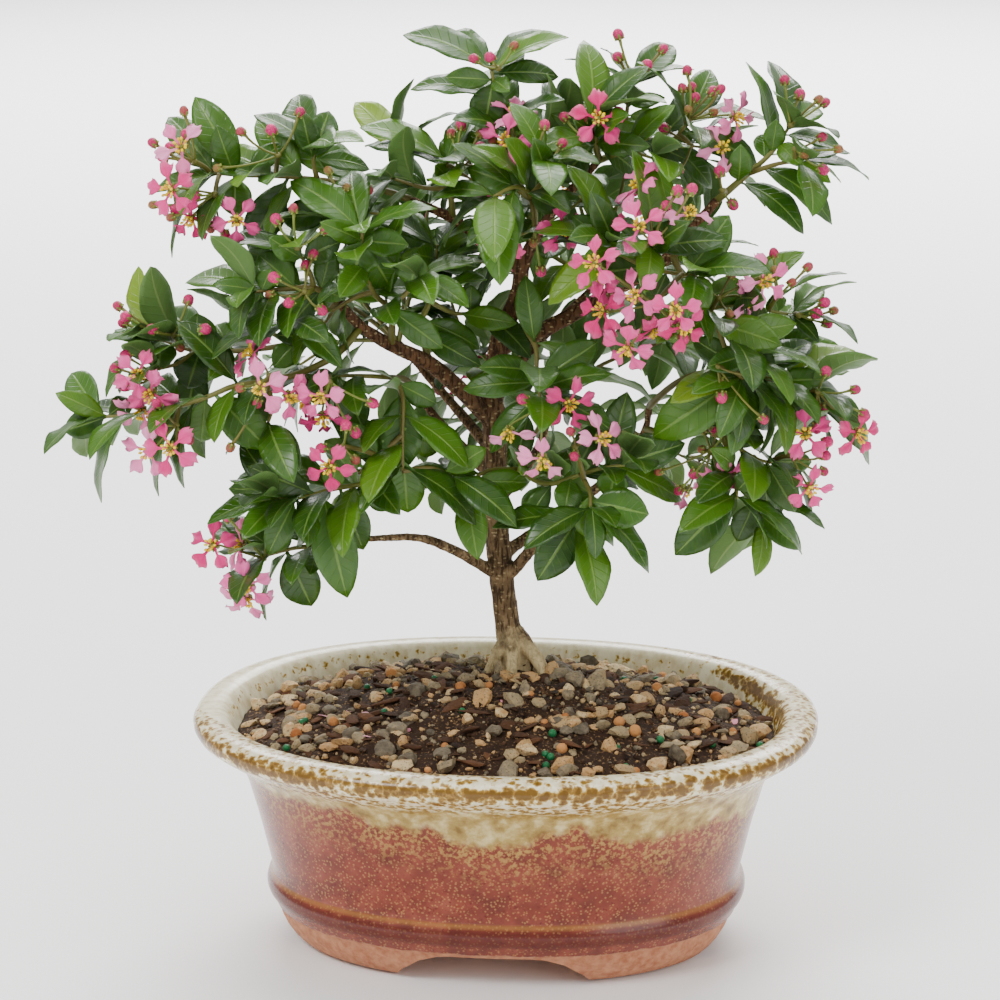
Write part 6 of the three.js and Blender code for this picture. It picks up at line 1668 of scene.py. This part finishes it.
ring = oval_body("foot_ring", FOOT_RING, POT_AROUND)
for half, axis in FOOT_GAPS:
    arch = []
    for i in range(GAP_POINTS):
        share = -1 + 2 * i / (GAP_POINTS - 1)
        arch.append((share * half, -5 + (GAP_HEIGHT + 5) * (1 - abs(share) ** 4.5)))
    arch += [(half, -6), (-half, -6)]
    ring = combine(ring, prism("foot_gap", arch, -120, 120, axis), "DIFFERENCE")
pot_obj = oval_body("pot_shell", POT_OUTER + POT_INNER, POT_AROUND, 0.25)
for side in (-1, 1):
    circle = []
    for k in range(40):
        angle = k * math.pi / 20
        x, y = DRAIN_RADIUS * math.cos(angle), DRAIN_RADIUS * math.sin(angle)
        circle.append((side * DRAIN_X + x, y))
    pot_obj = combine(pot_obj, prism("drain", circle, 5, 20, "Z"), "DIFFERENCE")
pot_obj = combine(pot_obj, ring, "UNION")
pot_mesh = applied(pot_obj, "pot_fine")
piece = put("pot_fine", pot_mesh, glaze_mat, ("pot",), 0.0)
piece.data.set_sharp_from_angle(angle=math.radians(38))


# The soil: a closed body with a rough mound on top
SOIL_EDGE, SOIL_MOUND = 70.5, 88.0
SOIL_REACH, SOIL_TOP_REACH, SPOT_REACH = 87, 87.2, 86.4
SOIL_WALL = ((67.4, 18.6), (71.6, 23), (79.1, 48), (86.5, 67.4))
SOIL_AROUND, SOIL_RINGS = ((220, 64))


def mound_height(x, y):
    """Height of the soil at a place of the pot's plan, in its own frame"""
    c, s = abs(x / SOIL_REACH), abs(y / (SOIL_REACH - POT_INSET))
    share = min(1.0, (c**SQUARENESS + s**SQUARENESS) ** (1 / SQUARENESS))
    rough = 1.6 * noise.noise(Vector((x * 0.09, y * 0.09, 3)))
    rough += 0.9 * noise.noise(Vector((x * 0.3, y * 0.3, 8)))
    rough += 0.5 * noise.noise(Vector((x * 0.85, y * 0.85, 1)))
    return SOIL_EDGE + (SOIL_MOUND - SOIL_EDGE) * (1 - share**1.6) - 0.8 + rough


soil = Bag()
rows = []
for radius, z in SOIL_WALL:
    for k in range(SOIL_AROUND):
        x, y = outline(2 * math.pi * k / SOIL_AROUND, radius)
        rows.append((x, y, z))
for ring_number in range(SOIL_RINGS):
    share = 1 - ring_number / SOIL_RINGS
    for k in range(SOIL_AROUND):
        x, y = outline(2 * math.pi * k / SOIL_AROUND, SOIL_TOP_REACH)
        x, y = x * share, y * share
        rows.append((x, y, mound_height(x, y)))
rows += [(0, 0, SOIL_WALL[0][1]), (0, 0, mound_height(0, 0))]
soil.add(rows, capped_faces(len(SOIL_WALL) + SOIL_RINGS, SOIL_AROUND), tint=0.25)
soil.piece("soil_fine", (soil_mat,), "soil", ("soil",), in_tree=False)


def round_body(subdivisions):
    """Points and faces of a unit ball of triangles"""
    ball = bmesh.new()
    bmesh.ops.create_icosphere(ball, subdivisions=subdivisions, radius=1)
    verts = np.array([v.co[:] for v in ball.verts])
    faces = [tuple(v.index for v in f.verts) for f in ball.faces]
    ball.free()
    return verts, faces


FINE_BODY, COARSE_BODY = round_body(2), round_body(1)


def turn_of(draw):
    """Rotation matrix from three draws"""
    angles = [draw() * 6.28, draw() * 6.28, draw() * 6.28]
    made = Matrix.Rotation(angles[0], 3, "X") @ Matrix.Rotation(angles[1], 3, "Y")
    return np.array(made @ Matrix.Rotation(angles[2], 3, "Z"))


def soil_spot(draw, most):
    """A place on the soil, up to a share of the way out to its edge"""
    x, y = outline(draw() * 2 * math.pi, SPOT_REACH)
    share = math.sqrt(most**2 * draw())
    return x * share, y * share


def add_grain(bag, draw, size, flat, long, sink, rough, fine):
    """Stone, chip or ball lying in the soil's surface; rough ones get flat faces"""
    x, y = soil_spot(draw, 1 - size * 0.006)
    ball, faces = FINE_BODY if fine else COARSE_BODY
    verts = ball * np.array((long, 1.0, flat))
    shift = Vector((draw() * 90, draw() * 90, draw() * 90))
    dents = np.array([noise.noise(Vector(v) * 1.3 + shift) for v in verts.tolist()])
    bumps = 1 + 0.4 * rough * dents
    for _ in range(9 if rough > 0.4 else 0):
        flat_way = unit(vec(draw() - 0.5, draw() - 0.5, draw() - 0.5) + 1e-6)
        bumps = np.minimum(bumps, (0.5 + 0.36 * draw()) / np.maximum(ball @ flat_way, 0.3))
    verts = verts * bumps[:, None] * size
    if flat < 0.8:
        lean = Matrix.Rotation((draw() - 0.5) * 0.7, 3, "X")
        lean = lean @ Matrix.Rotation((draw() - 0.5) * 0.7, 3, "Y")
        verts = verts @ np.array(lean @ Matrix.Rotation(draw() * 6.28, 3, "Z")).T
    else:
        verts = verts @ turn_of(draw).T
    verts = verts + np.array((x, y, mound_height(x, y) + size * flat * (1 - 2 * sink)))
    bag.add(verts, faces, tint=draw())


def scatter(name, material, seed, number, sizes, flats, longs, sink, rough, fine=True, smooth=False):
    """Many loose bits as one piece; sizes, flats and longs are ranges to draw from"""
    draw = draws(SEED * 9000 + seed)
    bag = Bag()
    for _ in range(number):
        size = sizes[0] + (sizes[1] - sizes[0]) * draw() ** 2
        flat = flats[0] + (flats[1] - flats[0]) * draw()
        long = longs[0] + (longs[1] - longs[0]) * draw()
        add_grain(bag, draw, size, flat, long, sink, rough, fine)
    bag.piece(name, (material,), "soil", in_tree=False, smooth=smooth)


scatter("soil_gravel", stone_mat, 1, 620, (1.2, 4.0), (0.55, 0.9), (1.0, 1.5), 0.4, 0.9)
scatter("soil_grit", stone_mat, 2, 900, (0.45, 1.2), (0.6, 1.0), (1.0, 1.4), 0.35, 0.5, False)
scatter("soil_bark_chips", chip_mat, 3, 420, (1.1, 3.3), (0.22, 0.42), (1.3, 2.6), 0.3, 0.7)
scatter("soil_crumbs", soil_mat, 4, 620, (0.7, 1.9), (0.6, 1.0), (1.0, 1.5), 0.4, 0.7, False)
scatter("soil_clay_balls", clay_mat, 5, 34, (1.2, 2.2), (0.9, 1.0), (1.0, 1.1), 0.3, 0.22, True, True)
scatter("soil_prills", prill_mat, 6, 34, (1.1, 1.4), (0.98, 1.0), (1.0, 1.02), 0.2, 0.05, True, True)
scatter("soil_fallen_bits", fallen_mat, 7, 26, (0.9, 2.2), (0.12, 0.25), (1.2, 2.2), 0.1, 0.9, False)

for node in ("drain_mesh_left", "drain_mesh_right"):
    screen = bpy.data.objects.get(node)
    if screen and screen.type == "MESH":
        screen.data.materials.clear()
        screen.data.materials.append(mesh_mat)


# Studio: a pale sheet, broad soft lights and a long lens that looks slightly down
SHEET_HALF = 4.0


def sheet():
    """The sheet that the pot stands on"""
    h = SHEET_HALF
    mesh = bpy.data.meshes.new("studio_sheet")
    mesh.from_pydata([(-h, -h, 0), (-h, h, 0), (h, h, 0), (h, -h, 0)], [], [(3, 2, 1, 0)])
    mesh.update()
    obj = bpy.data.objects.new("studio_sheet", mesh)
    bpy.context.scene.collection.objects.link(obj)
    paint = Paint("studio_white", Roughness=0.95, Specular_IOR_Level=0.0)
    paint.colour((0.97, 0.97, 0.97, 1))
    mesh.materials.append(paint.material)


def lamp(name, place, target, size, power):
    """Round white light at a place, turned towards its target"""
    light = bpy.data.lights.new(name, "AREA")
    light.shape, light.size, light.energy = "DISK", size, power
    obj = bpy.data.objects.new(name, light)
    obj.location = place
    obj.rotation_euler = (Vector(target) - Vector(place)).to_track_quat("-Z", "Y").to_euler()
    bpy.context.scene.collection.objects.link(obj)


sheet()
lamp("key", (-0.7, -0.9, 1.2), (0, 0, 0.15), 0.6, 15)
lamp("fill", (0.95, -0.9, 0.6), (0, 0, 0.15), 0.9, 5)
lamp("top", (0.05, 0.1, 1.3), (0, 0, 0.1), 0.9, 9)
lamp("backdrop", (0, 2.6, 1.9), (0, 2.4, 0), 2.6, 210)
world = bpy.data.worlds.new("studio")
world.use_nodes = True
background = world.node_tree.nodes["Background"]
background.inputs["Color"].default_value = (1, 1, 1, 1)
background.inputs["Strength"].default_value = 0.72
bpy.context.scene.world = world

camera_data = bpy.data.cameras.new("camera")
camera_data.lens, camera_data.sensor_width = 108, 36
camera_data.clip_start, camera_data.clip_end = 0.05, 20
camera = bpy.data.objects.new("camera", camera_data)
# It looks 14 degrees below level
aim = Vector((0, 0.9703, -0.2419))
spot = Matrix.Translation(Vector((EYE_X, -EYE_DISTANCE, EYE_HEIGHT)) * MM)
turn = aim.to_track_quat("-Z", "Y").to_matrix().to_4x4()
camera.matrix_world = frame_place(TREE_YAW) @ spot @ turn
bpy.context.scene.collection.objects.link(camera)
bpy.context.scene.camera = camera
